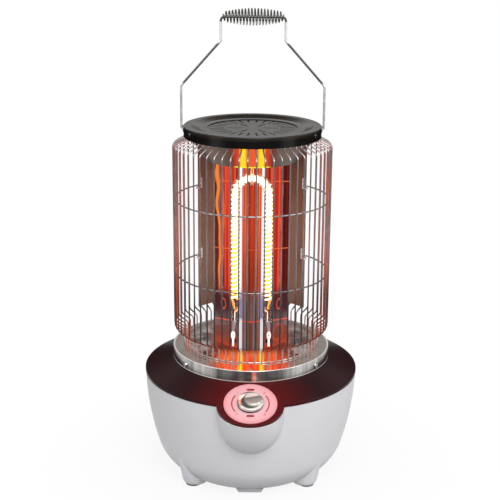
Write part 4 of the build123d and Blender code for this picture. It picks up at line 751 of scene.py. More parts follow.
def core_finish(name):
    """Haze of light inside the coil: pale yellow over most of its length, orange near the foot."""
    f = Finish(name, roughness=0.8)
    where = f.where
    _, _, z = f.axes(where)
    patch = f.noise(f.stretched(where, (90.0, 90.0, 160.0)), 1.0, 2.0)
    warm = f.ramp(patch, [(0.35, (0.92, 0.50, 0.02)), (0.65, (0.90, 0.72, 0.05))])
    warm = f.mixed(f.eased(z, 0.31, 0.37), warm, (1.0, 0.90, 0.55))
    tint = f.mixed(f.eased(z, 0.245, 0.300), (1.0, 0.36, 0.04), warm)
    f.feed("Base Color", tint)
    f.lit(tint, f.plus(f.spread(f.eased(z, 0.235, 0.300), 0.8, 1.0), f.eased(z, 0.31, 0.37)))
    return f.made


def quartz_finish(name):
    """Clear quartz."""
    f = Finish(name, roughness=0.02)
    for socket, value in (("Transmission Weight", 1.0), ("IOR", 1.45), ("Alpha", 0.22)):
        f.shader.inputs[socket].default_value = value
    ripple = f.noise(f.stretched(f.where, (40.0, 40.0, 12.0)), 1.0, 2.0)
    f.feed("Base Color", f.ramp(ripple, [(0.3, (0.97, 0.93, 0.90)), (0.7, (1.0, 0.99, 0.98))]))
    f.feed("Roughness", f.spread(ripple, 0.0, 0.03))
    return f.made


def dial_finish(name):
    """Pink printed plate, deeper pink towards its edge."""
    f = Finish(name, roughness=0.35, coat=0.3, coat_roughness=0.15)
    share = f.share(f.away(f.where, DIAL_CENTRE), 14 * MM, 34 * MM)
    red, green, blue = colours().dial
    pale = (min(1, red * 1.03), green * 1.35, blue * 1.3)
    deep = (red * 0.92, green * 0.7, blue * 0.75)
    f.feed("Base Color", f.ramp(share, [(0.0, pale), (0.75, colours().dial), (1.0, deep)]))
    f.bump(f.noise(f.where, 800.0), 0.1, 0.03 * MM)
    return f.made


def knob_finish(name):
    """Satin knob: soft painted reflection bands across it, a painted orange reflection on its left
    lip, painted shade in the hollow inside its lip, and a dark painted reflection on its foot.
    """
    f = Finish(name, metallic=0.5, roughness=0.3)
    arm = f.vector("SUBTRACT", f.where, tuple(DIAL_CENTRE)).outputs[0]
    across, up, lift = (
        f.vector("DOT_PRODUCT", arm, tuple(way)).outputs["Value"]
        for way in (DIAL_X_AXIS, DIAL_UP, DIAL_NORMAL)
    )
    reach = f.vector(
        "LENGTH", f.node("ShaderNodeCombineXYZ", X=across, Y=up).outputs[0]
    ).outputs["Value"]
    # Painted reflections: light and dark bands across the knob's top.
    painted_bands = f.ramp(
        f.share(f.math("MULTIPLY_ADD", across, -0.25, up), -16 * MM, 16 * MM),
        [
            (0.0, (0.62, 0.58, 0.56)), (0.26, (0.72, 0.70, 0.64)), (0.36, (0.36, 0.36, 0.37)),
            (0.52, (0.30, 0.30, 0.31)), (0.62, (0.16, 0.16, 0.165)), (0.72, (0.75, 0.75, 0.76)),
            (0.84, (0.70, 0.70, 0.70)), (0.93, (0.16, 0.15, 0.15)),
        ],
    )
    # Painted shade in the hollow inside the lip.
    painted_groove_shade = f.times(f.eased(lift, 4.0 * MM, 3.1 * MM), f.eased(reach, 14.5 * MM, 13.5 * MM))
    # Painted dark reflection on the foot's side wall.
    foot = f.times(f.eased(lift, 2.9 * MM, 2.2 * MM), f.eased(reach, 15.0 * MM, 16.0 * MM))
    tint = f.mixed(painted_groove_shade, painted_bands, (0.10, 0.09, 0.09))
    f.feed("Base Color", f.mixed(foot, tint, (0.06, 0.045, 0.10)))
    f.feed("Roughness", f.spread(f.noise(f.where, 500.0), 0.24, 0.36))
    # Painted orange reflection on the left part of the lip.
    left = f.eased(across, -4 * MM, -9 * MM)
    lip = f.times(f.eased(up, -9 * MM, -3 * MM), f.eased(up, 14 * MM, 9 * MM))
    lip = f.times(f.times(left, lip), f.band(reach, 13.4 * MM, 1.6 * MM, 0.9 * MM))
    painted_flame = f.mixed(0.5, (1.0, 0.30, 0.12), (1.0, 0.22, 0.08))
    f.lit(painted_flame, f.times(lip, 0.75))
    return f.made


def mark_finish(name, share):
    """Dark red print, paler where its share is higher."""
    f = Finish(name)
    base = [c * share + 0.03 * (share - 1) for c in colours().dial_marks]
    f.feed("Base Color", f.ramp(f.noise(f.where, 300.0), [(0.3, base), (0.7, shaded(base, 1.3))]))
    return f.made


FINISHES = {
    "shell_plastic": shell_finish, "cover_plastic": cover_finish, "dial_print": dial_finish,
    "dial_marks_print": partial(mark_finish, share=1.0),
    "dial_figures_print": partial(mark_finish, share=1.9), "knob_metal": knob_finish,
    "tray_steel": tray_finish,
    "guard_chrome": partial(plated, colour=(0.40, 0.38, 0.385), painted_lamp_light_and_shade=True),
    "handle_chrome": partial(
        plated, colour=(0.86, 0.86, 0.87), roughness=0.22,
        # Painted dark reflection over the bail's slanting arms, and the bail darker round its grip.
        darkened_zones=((0.5225, 0.5745, (0.13, 0.13, 0.13)), (0.599, 0.622, (0.09, 0.085, 0.08))),
    ),
    "shield_steel": shield_finish, "reflector_mirror": mirror_finish,
    "deflector_steel": deflector_finish, "cap_enamel": enamel_finish,
    "zinc_screw": partial(brushed, colour=(0.70, 0.69, 0.66), roughness=0.30),
    "zinc_dark": partial(brushed, colour=(0.07, 0.065, 0.06), roughness=0.45),
    "bushing_brass": partial(brushed, colour=(0.20, 0.15, 0.10), roughness=0.42),
    "shaft_steel": partial(
        brushed, colour=(0.52, 0.52, 0.52), roughness=0.3, streak=(3.0, 3.0, 30.0)
    ),
    "lamp_quartz": quartz_finish, "filament_glow": glow_finish, "filament_haze": core_finish,
    "lead_metal": lead_finish,
    "ceramic_white": partial(moulded, colour=(0.80, 0.78, 0.74), roughness=0.55),
    "pinched_quartz": partial(moulded, colour=(0.42, 0.38, 0.44), roughness=0.3),
    "tab_zinc": partial(moulded, colour=(0.80, 0.79, 0.80), roughness=0.3),
    "inner_black": partial(moulded, colour=(0.018, 0.018, 0.020), roughness=0.5),
    "pad_rubber": partial(moulded, colour=(0.20, 0.20, 0.205), roughness=0.75, grain=0.6),
    "wire_jacket": partial(moulded, colour=(0.70, 0.66, 0.58), roughness=0.7),
}


@cache
def finish_for(name):
    """A finish by name, made the first time it is asked for."""
    return FINISHES[name](name)


# Mesh helpers


def put(name, data):
    """A new object in the scene with the given data."""
    made = bpy.data.objects.new(name, data)
    bpy.context.scene.collection.objects.link(made)
    return made


def new_piece(
    name, verts, faces, slot, body="base", replaces=(), sharp=radians(40), smooth=True,
    outward=None, finish=None,
):
    """A mesh object that rides on a body, with the finish of its slot, and the parts it replaces
    hidden.
    """
    mesh = bpy.data.meshes.new(name)
    mesh.from_pydata([tuple(v) for v in verts], [], faces)
    mesh.validate()
    tidy = bmesh.new()
    tidy.from_mesh(mesh)
    bmesh.ops.recalc_face_normals(tidy, faces=tidy.faces)
    tidy.to_mesh(mesh)
    tidy.free()
    if smooth:
        mesh.shade_smooth()
        mesh.set_sharp_from_angle(angle=sharp)
    if outward:
        mesh.attributes.new("outward", "FLOAT", "POINT").data.foreach_set("value", outward)
    piece = put(name, mesh)
    mesh.materials.append(finish_for(finish or slot))
    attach(piece, body)
    if replaces:
        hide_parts(*replaces)
    return piece


def bored(piece, holes, depth):
    """Cuts upright round holes, given as (centre, radius), through a piece."""
    rise = Vector((0, 0, depth))
    rods = [swept([centre - rise, centre + rise], radius, sides=32) for centre, radius in holes]
    verts, faces = joined(rods)
    mesh = bpy.data.meshes.new("bores")
    mesh.from_pydata(verts, [], faces)
    cutter = put("bores", mesh)
    bore = piece.modifiers.new("bores", "BOOLEAN")
    bore.operation = "DIFFERENCE"
    bore.solver = "EXACT"
    bore.object = cutter
    graph = bpy.context.evaluated_depsgraph_get()
    cut_mesh = bpy.data.meshes.new_from_object(piece.evaluated_get(graph))
    piece.modifiers.clear()
    piece.data = cut_mesh
    bpy.data.objects.remove(cutter)


def rounded(points, radii, steps=6, closed=False):
    """A polyline with its inner corners turned into arcs of the given radii."""
    points = [Vector(p) for p in points]
    if not isinstance(radii, (list, tuple)):
        radii = [radii] * len(points)
    made = []
    count = len(points)
    for index, point in enumerate(points):
        radius = radii[index]
        if radius <= 0 or (not closed and index in (0, count - 1)):
            made.append(point)
            continue
        before = points[index - 1]
        after = points[(index + 1) % count]
        towards_before = (before - point).normalized()
        towards_after = (after - point).normalized()
        half = acos(max(-1, min(1, towards_before.dot(towards_after)))) / 2
        if half > pi / 2 - 0.01 or half < 0.01:
            made.append(point)
            continue
        reach = min(
            radius * cos(half) / sin(half), (before - point).length * 0.5,
            (after - point).length * 0.5,
        )
        radius = reach * sin(half) / cos(half)
        middle_way = (towards_before + towards_after).normalized()
        centre = point + middle_way * (radius / sin(half))
        start = point + towards_before * reach
        end = point + towards_after * reach
        start_arm = start - centre
        end_arm = end - centre
        turn = acos(max(-1, min(1, start_arm.normalized().dot(end_arm.normalized()))))
        for step in range(steps + 1):
            share = step / steps
            arm = (start_arm * sin((1 - share) * turn) + end_arm * sin(share * turn)) / sin(turn)
            made.append(centre + arm)
    return made


def evenly(start, end, steps):
    """Values from start to end in even steps, both ends included."""
    return [start + (end - start) * step / steps for step in range(steps + 1)]


def whole_turn(steps):
    """Angles that share out a whole turn."""
    return [tau * step / steps for step in range(steps)]


def around(reach, turn, height):
    """A place given by its reach from the guard's axis, its turn from the front and its height."""
    return Vector((reach * sin(turn), AXIS_Y - reach * cos(turn), height))


def from_front(turn):
    """The same turn, counted to both sides of the front."""
    return (turn + pi) % tau - pi


def walls(rings, sides, closed=False):
    """Faces between rings of vertices that follow one another."""
    faces = []
    for ring in range(rings if closed else rings - 1):
        here = ring * sides
        there = ((ring + 1) % rings) * sides
        for corner in range(sides):
            after = (corner + 1) % sides
            faces.append((here + corner, here + after, there + after, there + corner))
    return faces


def capped(rings, sides):
    """Faces between rings of vertices, closed at both ends."""
    last = (rings - 1) * sides
    ends = [tuple(reversed(range(sides))), tuple(range(last, last + sides))]
    return walls(rings, sides) + ends


def swept(points, radius, sides=12, closed=False):
    """Vertices and faces of a round tube along points."""
    count = len(points)
    verts = []
    heading = (points[1] - points[0]).normalized()
    side = heading.orthogonal().normalized()
    for index, point in enumerate(points):
        if closed:
            heading = (points[(index + 1) % count] - points[index - 1]).normalized()
        elif index == 0:
            heading = (points[1] - points[0]).normalized()
        elif index == count - 1:
            heading = (points[-1] - points[-2]).normalized()
        else:
            heading = (
                (points[index + 1] - point).normalized() + (point - points[index - 1]).normalized()
            ).normalized()
        side = (side - heading * side.dot(heading)).normalized()
        over = heading.cross(side)
        size = radius[index] if isinstance(radius, (list, tuple)) else radius
        for turn in whole_turn(sides):
            verts.append(point + (side * cos(turn) + over * sin(turn)) * size)
    return verts, walls(count, sides, closed=True) if closed else capped(count, sides)


def joined(parts):
    """Several vertex and face lists as one."""
    verts = []
    faces = []
    for more_verts, more_faces in parts:
        start = len(verts)
        verts += more_verts
        faces += [tuple(corner + start for corner in face) for face in more_faces]
    return verts, faces


def dial_point(across, along, lift):
    """A point given on the dial's plane: across, up the slope and out of it."""
    return DIAL_CENTRE + DIAL_X_AXIS * across + DIAL_UP * along + DIAL_NORMAL * lift


# Base shell


def bowl_reach(height):
    """The bowl's outer reach at a height, from its belly arc and the arc under it."""
    centre, radius = BELLY_ARC if height >= BELLY[2][1] else HIP_ARC
    return centre[0] + sqrt(max(0.0, radius**2 - (height - centre[1]) ** 2))


def circle_through(first, second, third):
    """Centre and radius of the circle through three section points."""
    (ax, ay), (bx, by), (cx, cy) = first, second, third
    turn = 2 * (ax * (by - cy) + bx * (cy - ay) + cx * (ay - by))
    squares = [x * x + y * y for x, y in (first, second, third)]
    ux = (squares[0] * (by - cy) + squares[1] * (cy - ay) + squares[2] * (ay - by)) / turn
    uy = (squares[0] * (cx - bx) + squares[1] * (ax - cx) + squares[2] * (bx - ax)) / turn
    return (ux, uy), hypot(ax - ux, ay - uy)


def arc_tangent_to(centre, start, end):
    """Circle that leaves start at a right angle to its line from centre, and ends at end."""
    way = Vector((start[0] - centre[0], start[1] - centre[1])).normalized()
    span = Vector((start[0] - end[0], start[1] - end[1]))
    radius = span.dot(span) / (2 * span.dot(way))
    made = (start[0] - way.x * radius, start[1] - way.y * radius)
    return made, radius


BELLY = ((SHELL_R, SHELL_TOP), (135.9 * MM, 84.0 * MM), (125.7 * MM, 42.0 * MM))
SOLE_R = 97.0 * MM
BELLY_ARC = circle_through(*BELLY)
HIP_ARC = arc_tangent_to(BELLY_ARC[0], BELLY[2], (SOLE_R, SOLE_Z))
POUCH = (42.6 * MM, 37.4 * MM, 79.0 * MM)
POUCH_FULLNESS = 3.0
TONGUE = 4.5 * MM
SHELL_WALL = 2.8 * MM
SCREW_REACH = 76.0 * MM * sqrt(0.5)
SCREW_HOLE_R = 2.6 * MM
PLUNGER_REACH = 86.0 * MM
PLUNGER_HOLE_R = 6.2 * MM
SOLE_INNER_R = 68.0 * MM
RIM_ROUND = 0.9 * MM
SHELL_ROWS = 84
POUCH_SPAN = radians(30)
POUCH_FOOT = 78 * MM
POUCH_BEYOND = 190 * MM
POUCH_WITHIN = 110 * MM
FOOT_TURNS = (47.0, 133.0, 227.0, 313.0)
FOOT_BULB_AT = (99.0 * MM, 12.5 * MM)
FOOT_BULB_R = 18.0 * MM
FOOT_TIP_AT = (129.0 * MM, 47.0 * MM)
FOOT_TIP_ROUND = 1.0 * MM
FOOT_TIP_R = 0.6 * MM
FOOT_SOLE_Z = 3.0 * MM


def in_pouch(turn, reach, height):
    """Below one inside the pouch's full-bellied form, above one outside it."""
    arm = around(reach, turn, height) - DIAL_CENTRE
    flat = (arm.dot(DIAL_X_AXIS) / POUCH[0]) ** 2 + (arm.dot(DIAL_UP) / POUCH[1]) ** 2
    return flat + abs(arm.dot(DIAL_NORMAL) / POUCH[2]) ** POUCH_FULLNESS


def pouch_reach(turn, height):
    """The pouch's outer reach at an angle and height, or 0 where the ray misses it."""
    outer = POUCH_BEYOND
    inner = outer
    while in_pouch(turn, inner, height) > 1:
        outer = inner
        inner -= 3 * MM
        if inner < POUCH_WITHIN:
            return 0.0
    for _ in range(14):
        half = (inner + outer) / 2
        if in_pouch(turn, half, height) > 1:
            outer = half
        else:
            inner = half
    return inner


def shell_reach(turn, height, soft):
    """The shell's outer reach: bowl and pouch run softly into each other."""
    bowl = bowl_reach(height)
    pouch = pouch_reach(turn, height) if abs(turn) < POUCH_SPAN else 0.0
    rise = max(0.0, min(1.0, (height - POUCH_FOOT) / (SHELL_TOP - POUCH_FOOT)))
    soft = soft * (0.7 + 2.6 * sin(pi * rise))
    near = max(soft - abs(bowl - pouch), 0) / soft
    return max(bowl, pouch) + near * near * soft / 4


def mouth_height(turn, soft):
    """Height of the shell's rim: level, then along the dial's slope over the pouch."""
    height = SHELL_TOP
    for _ in range(40):
        reach = shell_reach(turn, height, soft)
        drop = (reach - DIAL_REACH) * sin(DIAL_SLOPE) / cos(DIAL_SLOPE)
        slope_line = DIAL_Z - TONGUE / cos(DIAL_SLOPE) - drop
        height = 0.5 * height + 0.5 * min(SHELL_TOP, slope_line)
    return height


class HEATER_OT_base_shell(bpy.types.Operator):
    """Builds the moulded base shell with its dial pouch and feet"""

    bl_idname = "heater.base_shell"
    bl_label = "Base shell and feet"

    def execute(self, context):
        soft = sizes().crease_round
        sections = [self.section(from_front(turn), soft) for turn in self.turns()]
        verts = [point for section in sections for point in section]
        faces = walls(len(sections), len(sections[0]), closed=True)
        shell = new_piece(
            "base_shell_moulding", verts, faces, "shell_plastic", replaces=["base_shell"],
            sharp=radians(50),
        )
        holes = [(Vector((0, AXIS_Y - PLUNGER_REACH, SOLE_Z)), PLUNGER_HOLE_R)]
        for across, along in ((-1, -1), (1, -1), (-1, 1), (1, 1)):
            centre = Vector((across * SCREW_REACH, AXIS_Y + along * SCREW_REACH, SOLE_Z))
            holes.append((centre, SCREW_HOLE_R))
        bored(shell, holes, 4 * MM)
        self.feet()
        return {"FINISHED"}

    def turns(self):
        """Turns of the shell's sections, which lie closer together over the pouch."""
        turns = []
        turn = -POUCH_SPAN
        while turn < POUCH_SPAN - 1e-6:
            turns.append(turn)
            turn += radians(0.6)
        rest = tau - 2 * POUCH_SPAN
        count = round(rest / radians(2.4))
        return turns + [POUCH_SPAN + rest * index / count for index in range(count)]

    def section(self, turn, soft):
        """One section of the shell: over the rim, down the outside and up the inside."""
        top = mouth_height(turn, soft)
        start = top - RIM_ROUND
        outer = []
        for row in range(SHELL_ROWS + 1):
            height = start - (start - SOLE_Z) * (row / SHELL_ROWS)
            outer.append((shell_reach(turn, height, soft), height))
        rim = shell_reach(turn, top, soft)
        edge = [
            (rim - SHELL_WALL + 0.3 * MM, top), (rim - 1.2 * MM, top),
            (rim - 0.6 * MM, top - 0.1 * MM), (rim - 0.15 * MM, top - 0.35 * MM),
        ]
        inner_sole = SOLE_Z + SHELL_WALL
        sole = [(SOLE_INNER_R, SOLE_Z), (SOLE_INNER_R, inner_sole)]
        inner = [(reach - SHELL_WALL, max(height, inner_sole)) for reach, height in outer[::4]]
        return [around(reach, turn, height) for reach, height in edge + outer + sole + inner[::-1]]

    def feet(self):
        """Teardrop feet that stand out of the bowl."""
        parts = []
        for turn in map(radians, FOOT_TURNS):
            foot = around(FOOT_BULB_AT[0], turn, FOOT_BULB_AT[1])
            tip = around(FOOT_TIP_AT[0], turn, FOOT_TIP_AT[1])
            length = (tip - foot).length
            outline = [
                (FOOT_BULB_R * cos(way), FOOT_BULB_R * sin(way))
                for way in evenly(pi, acos(FOOT_BULB_R / length), 24)
            ]
            start, reach = outline[-1]
            run = length - FOOT_TIP_ROUND * 2 - start
            for share in evenly(0, 1, 16)[1:]:
                outline.append((start + run * share, reach * (1 - share) + FOOT_TIP_R * share))
            heading = (tip - foot).normalized()
            side = heading.orthogonal().normalized()
            over = heading.cross(side)
            verts = []
            for along, reach in outline[1:]:
                for way in whole_turn(48):
                    point = foot + heading * along + (side * cos(way) + over * sin(way)) * reach
                    point.z = max(point.z, FOOT_SOLE_Z)
                    verts.append(point)
            parts.append((verts, capped(len(outline) - 1, 48)))
        new_piece("base_feet", *joined(parts), "shell_plastic", replaces=["base_shell"])


# Guard, rings and clips


WHOLE_RINGS = ("base_ring_lower", "base_ring_upper", "top_ring")
OPEN_RINGS = ("guard_ring_lower", "guard_ring_upper")
OPEN_RING_END = radians(132.0)
OPEN_RING_LAST_WELD = radians(125.5)
WIRE_FOOT_R = GUARD_R - 12.7 * MM
WIRE_HEAD_R = GUARD_R - 17.0 * MM
WIRE_BEND = 5.5 * MM


def wire_route():
    """The guard wire's bends, as reach and height."""
    corners = [
        (WIRE_FOOT_R, TRAY_FLOOR), (WIRE_FOOT_R, 194.5 * MM), (GUARD_R, 202.0 * MM),
        (GUARD_R, 446.0 * MM), (WIRE_HEAD_R, 453.5 * MM), (WIRE_HEAD_R, FRAME_Z),
    ]
    return rounded([(reach, 0, height) for reach, height in corners], WIRE_BEND, steps=7)


def wire_turns():
    """Turns of the guard's wires, which stand to both sides of the front."""
    count = sizes().wire_count
    return [tau * (index + 0.5) / count for index in range(count)]


class HEATER_OT_guard(bpy.types.Operator):
    """Builds the guard's upright wires and the rings welded inside them"""

    bl_idname = "heater.guard"
    bl_label = "Guard wires and rings"

    def execute(self, context):
        route = wire_route()
        parts = []
        for turn in wire_turns():
            path = [around(point.x, turn, point.z) for point in route]
            parts.append(swept(path, sizes().wire_radius, sides=12))
        new_piece("guard_wires_bent", *joined(parts), "guard_chrome", replaces=["guard_wires"])
        self.rings()
        return {"FINISHED"}

    def rings(self):
        """Round rings, with a small weld where each wire crosses."""
        for node in (*WHOLE_RINGS, *OPEN_RINGS):
            reach = high(node).x - WIRE
            height = middle(node, 2)
            whole = node in WHOLE_RINGS
            end = pi if whole else OPEN_RING_END
            turns = evenly(-end, end, 240)[:240 if whole else 241]
            path = [around(reach, turn, height) for turn in turns]
            parts = [swept(path, WIRE, sides=12, closed=whole)]
            for turn in wire_turns():
                if whole or abs(from_front(turn)) <= OPEN_RING_LAST_WELD:
                    parts.append(self.weld(turn, reach + WIRE, height))
            new_piece(node + "_welded", *joined(parts), "guard_chrome", replaces=[node])

    def weld(self, turn, reach, height):
        """A small bead of metal between a ring and a wire."""
        out = Vector((sin(turn), -cos(turn), 0))
        along = Vector((cos(turn), sin(turn), 0))
        centre = Vector((0, AXIS_Y, height)) + out * reach
        return blob(centre, along * 1.15 * MM, out * 0.75 * MM, Vector((0, 0, 1.0 * MM)))


def box_mesh(centre, half):
    """A closed box from its centre and half sizes."""
    verts = [
        Vector((centre[0] + sx * half[0], centre[1] + sy * half[1], centre[2] + sz * half[2]))
        for sx in (-1, 1) for sy in (-1, 1) for sz in (-1, 1)
    ]
    faces = [(0, 1, 3, 2), (4, 6, 7, 5), (0, 4, 5, 1), (2, 3, 7, 6), (0, 2, 6, 4), (1, 5, 7, 3)]
    return verts, faces


def holed_plate(x, y, z, half_x, half_z, hole, thick):
    """An upright oval plate with a round hole, facing forward."""
    steps = 40
    verts = []
    for depth in (-thick / 2, thick / 2):
        for reach_x, reach_z in ((half_x, half_z), (hole, hole)):
            for turn in whole_turn(steps):
                verts.append(Vector((x + reach_x * cos(turn), y + depth, z + reach_z * sin(turn))))
    faces = []
    front_out, front_in, back_out, back_in = (ring * steps for ring in range(4))
    for step in range(steps):
        after = (step + 1) % steps
        for a, b in (
            (front_out, front_in), (front_in, back_in), (back_in, back_out), (back_out, front_out),
        ):
            faces.append((a + step, a + after, b + after, b + step))
    return verts, faces


def blob(centre, first, second, third, rings=5, sides=8):
    """A small closed ellipsoid given by its half axes."""
    verts = [centre + third]
    for ring in range(1, rings):
        lift = pi * ring / rings
        for turn in whole_turn(sides):
            verts.append(
                centre + third * cos(lift) + (first * cos(turn) + second * sin(turn)) * sin(lift)
            )
    verts.append(centre - third)
    faces = []
    for step in range(sides):
        after = (step + 1) % sides
        faces.append((0, 1 + step, 1 + after))
        for ring in range(rings - 2):
            a = 1 + ring * sides
            b = a + sides
            faces.append((a + step, b + step, b + after, a + after))
        last = 1 + (rings - 2) * sides
        faces.append((last + step, len(verts) - 1, last + after))
    return verts, faces


# Lamp

LAMP_WALL = 1.0 * MM
LAMP_SIDES = 36
COIL_R = 3.6
COIL_ARCH_SLIMMER = 0.9
COIL_WIRE_R = 1.05 * MM
COIL_SIDES = 10
COIL_STEPS = 20
COIL_FOOT = low("filament").z + 9.0 * MM
COIL_LEG = LAMP_ARCH - COIL_FOOT
COIL_RUN = 2 * COIL_LEG + pi * LAMP_X
CORE_R = 3.1 * MM
CORE_INSET = 6 * MM
TAIL_R = 0.9 * MM
TAB_X = 23.6 * MM
TAB_EYE_Z = 194.5 * MM
TAB_EYE = (2.8 * MM, 5.8 * MM)
TAB_HOLE_R = 1.0 * MM
TAB_THICK = 0.7 * MM
TAB_STEM_Z = 184.6 * MM
TAB_STEM = (1.35 * MM, 0.45 * MM, 5.8 * MM)
SLOT_AT = (LAMP_Y + 1.6 * MM, 185.3 * MM)
SLOT = (4.8 * MM, 0.6 * MM, 2.1 * MM)
SEAL_X = 22.1 * MM
SEAL_TOP_Z = 200.5 * MM
SEAL_RADII = [2.7 * MM, 1.7 * MM]


class HEATER_OT_lamp(bpy.types.Operator):
    """Builds the quartz lamp with its glowing coil and leads"""

    bl_idname = "heater.lamp"
    bl_label = "Lamp"

    def station(self, run):
        """Place and heading in the lamp's plane after a run up from the coil's foot."""
        if run < COIL_LEG:
            return -LAMP_X, COIL_FOOT + run, 0.0
        bend = (run - COIL_LEG) / LAMP_X
        if bend < pi:
            return -LAMP_X * cos(bend), LAMP_ARCH + LAMP_X * sin(bend), bend
        return LAMP_X, LAMP_ARCH - (run - COIL_LEG - pi * LAMP_X), pi

    def faces_out(self, vert, centre):
        """How far a point of the coil's wire faces away from the lamp's centre line, 0 to 1."""
        if vert.z > LAMP_ARCH:
            arm = Vector((vert.x, 0, vert.z - LAMP_ARCH)).normalized() * LAMP_X
            line = Vector((arm.x, LAMP_Y, LAMP_ARCH + arm.z))
        else:
            line = Vector((LAMP_X if vert.x > 0 else -LAMP_X, LAMP_Y, vert.z))
        return 0.5 + 0.5 * (vert - centre).normalized().dot((vert - line).normalized())

    def execute(self, context):
        self.tube()
        self.coil()
        self.core_and_tails()
        return {"FINISHED"}

    def tube(self):
        """The bent quartz tube, open at both ends and with a wall."""
        half_way = (LAMP_FOOT + LAMP_ARCH) / 2
        route = [(-LAMP_X, LAMP_FOOT), (-LAMP_X, half_way)]
        route += [
            (-LAMP_X * cos(bend), LAMP_ARCH + LAMP_X * sin(bend))
            for bend in evenly(0, pi, 24)
        ]
        route += [(LAMP_X, half_way), (LAMP_X, LAMP_FOOT)]
        path = [Vector((across, LAMP_Y, height)) for across, height in route]
        outer, outer_faces = swept(path, LAMP_R, sides=LAMP_SIDES)
        inner, inner_faces = swept(path, LAMP_R - LAMP_WALL, sides=LAMP_SIDES)
        inner_faces = [tuple(reversed(face)) for face in inner_faces[:-2]]
        verts, faces = joined([(outer, outer_faces[:-2]), (inner, inner_faces)])
        shift = len(outer)
        for start in (0, shift - LAMP_SIDES):
            for corner in range(LAMP_SIDES):
                here = start + corner
                after = start + (corner + 1) % LAMP_SIDES
                faces.append((here, after, shift + after, shift + here))
        new_piece("lamp_quartz_tube", verts, faces, "lamp_quartz", replaces=["lamp_tube"])

    def coil(self):
        """The hot coil, slimmer over the arch."""
        turns = sizes().filament_turns
        path = []
        for step in range(turns * COIL_STEPS + 1):
            turn = step / COIL_STEPS
            across, height, bend = self.station(turn * COIL_RUN / turns)
            swing = tau * turn
            reach = (COIL_R - COIL_ARCH_SLIMMER * sin(bend)) * MM
            out = reach * cos(swing)
            path.append(Vector((
                across + out * cos(bend), LAMP_Y + reach * sin(swing), height - out * sin(bend)
            )))
        verts, faces = swept(path, COIL_WIRE_R, sides=COIL_SIDES)
        outward = [
            self.faces_out(vert, path[index // COIL_SIDES])
            for index, vert in enumerate(verts)
        ]
        self.glowing("filament_coil", verts, faces, outward=outward)

    def core_and_tails(self):
        """The haze of light inside the coil, and the tails that lead down from it."""
        line = []
        for run in evenly(CORE_INSET, COIL_RUN - CORE_INSET, 120):
            across, height, _ = self.station(run)
            line.append(Vector((across, LAMP_Y, height)))
        self.glowing("filament_core", *swept(line, CORE_R, sides=20), finish="filament_haze")
        tails = []
        for side in (-1, 1):
            route = [
                (side * (LAMP_X + 3.4 * MM), COIL_FOOT + 0.5 * MM),
                (side * (LAMP_X + 1.6 * MM), COIL_FOOT - 3.5 * MM),
                (side * LAMP_X, LAMP_FOOT + 17 * MM),
            ]
            bent = rounded([(across, LAMP_Y, height) for across, height in route], 3 * MM)
            tails.append(swept(bent, TAIL_R, sides=12))
        self.glowing("filament_tails", *joined(tails), finish="filament_haze")

    def glowing(self, name, verts, faces, **more):
        """A glowing piece of the filament that bright metal doesn't mirror."""
        piece = new_piece(name, verts, faces, "filament_glow", replaces=["filament"], **more)
        piece.visible_glossy = False


class HEATER_OT_lamp_tabs(bpy.types.Operator):
    """Builds the lamp's pinched seals and the key-shaped tabs under them"""

    bl_idname = "heater.lamp_tabs"
    bl_label = "Lamp seals and tabs"

    def execute(self, context):
        tabs = []
        slot_shades = []
        seals = []
        for side in (-1, 1):
            x = side * TAB_X
            tabs.append(holed_plate(x, LAMP_Y, TAB_EYE_Z, *TAB_EYE, TAB_HOLE_R, TAB_THICK))
            tabs.append(box_mesh((x, LAMP_Y, TAB_STEM_Z), TAB_STEM))
            # Painted shade: thin black boxes stand in for the dark inside of each slot behind the
            # tabs.
            slot_shades.append(box_mesh((x, *SLOT_AT), SLOT))
            path = [Vector((side * SEAL_X, LAMP_Y, LAMP_FOOT)), Vector((x, LAMP_Y, SEAL_TOP_Z))]
            seals.append(swept(path, SEAL_RADII, sides=16))
        new_piece("lamp_key_tabs", *joined(tabs), "lead_metal", replaces=["lamp_terminals"])
        new_piece("lamp_tab_slot_shades", *joined(slot_shades), "inner_black", replaces=["lamp_terminals"])
        new_piece(
            "lamp_pinch_seals", *joined(seals), "ceramic_white", replaces=["lamp_seals"],
            finish="pinched_quartz",
        )
        return {"FINISHED"}


RING_TAB_X = 69.2 * MM
RING_TAB_Y = 67.6 * MM
RIVET_R = 1.5 * MM
RIVET_HEAD = 0.9 * MM


class HEATER_OT_ring_tabs(bpy.types.Operator):
    """Builds the small riveted plates that hold the ring ends to the shield"""

    bl_idname = "heater.ring_tabs"
    bl_label = "Ring tabs"

    def execute(self, context):
        plates = []
        rivets = []
        for node in ("guard_ring_lower", "guard_ring_upper"):
            height = middle(node, 2)
            for side in (-1, 1):
                x, y = side * RING_TAB_X, RING_TAB_Y
                plates.append(box_mesh((x, y, height + 7.0 * MM), (2.2 * MM, 1.8 * MM, 6.8 * MM)))
                plates.append(
                    box_mesh((side * 74.0 * MM, 74.2 * MM, height), (1.0 * MM, 8.0 * MM, 1.3 * MM))
                )
                plates.append(
                    box_mesh((side * 72.6 * MM, 66.6 * MM, height), (2.2 * MM, 0.8 * MM, 1.3 * MM))
                )
                for lift in (4.0, 10.0):
                    centre = Vector((x, y - 1.8 * MM, height + lift * MM))
                    axes = (RIVET_R, 0, 0), (0, 0, RIVET_R), (0, -RIVET_HEAD, 0)
                    rivets.append(blob(centre, *map(Vector, axes), 8, 16))
        new_piece(
            "ring_tab_plates", *joined(plates), "shield_steel", replaces=["ring_tabs"],
            finish="tab_zinc",
        )
        new_piece("ring_tab_rivets", *joined(rivets), "zinc_screw", replaces=["ring_tabs"])
        return {"FINISHED"}


# Handle

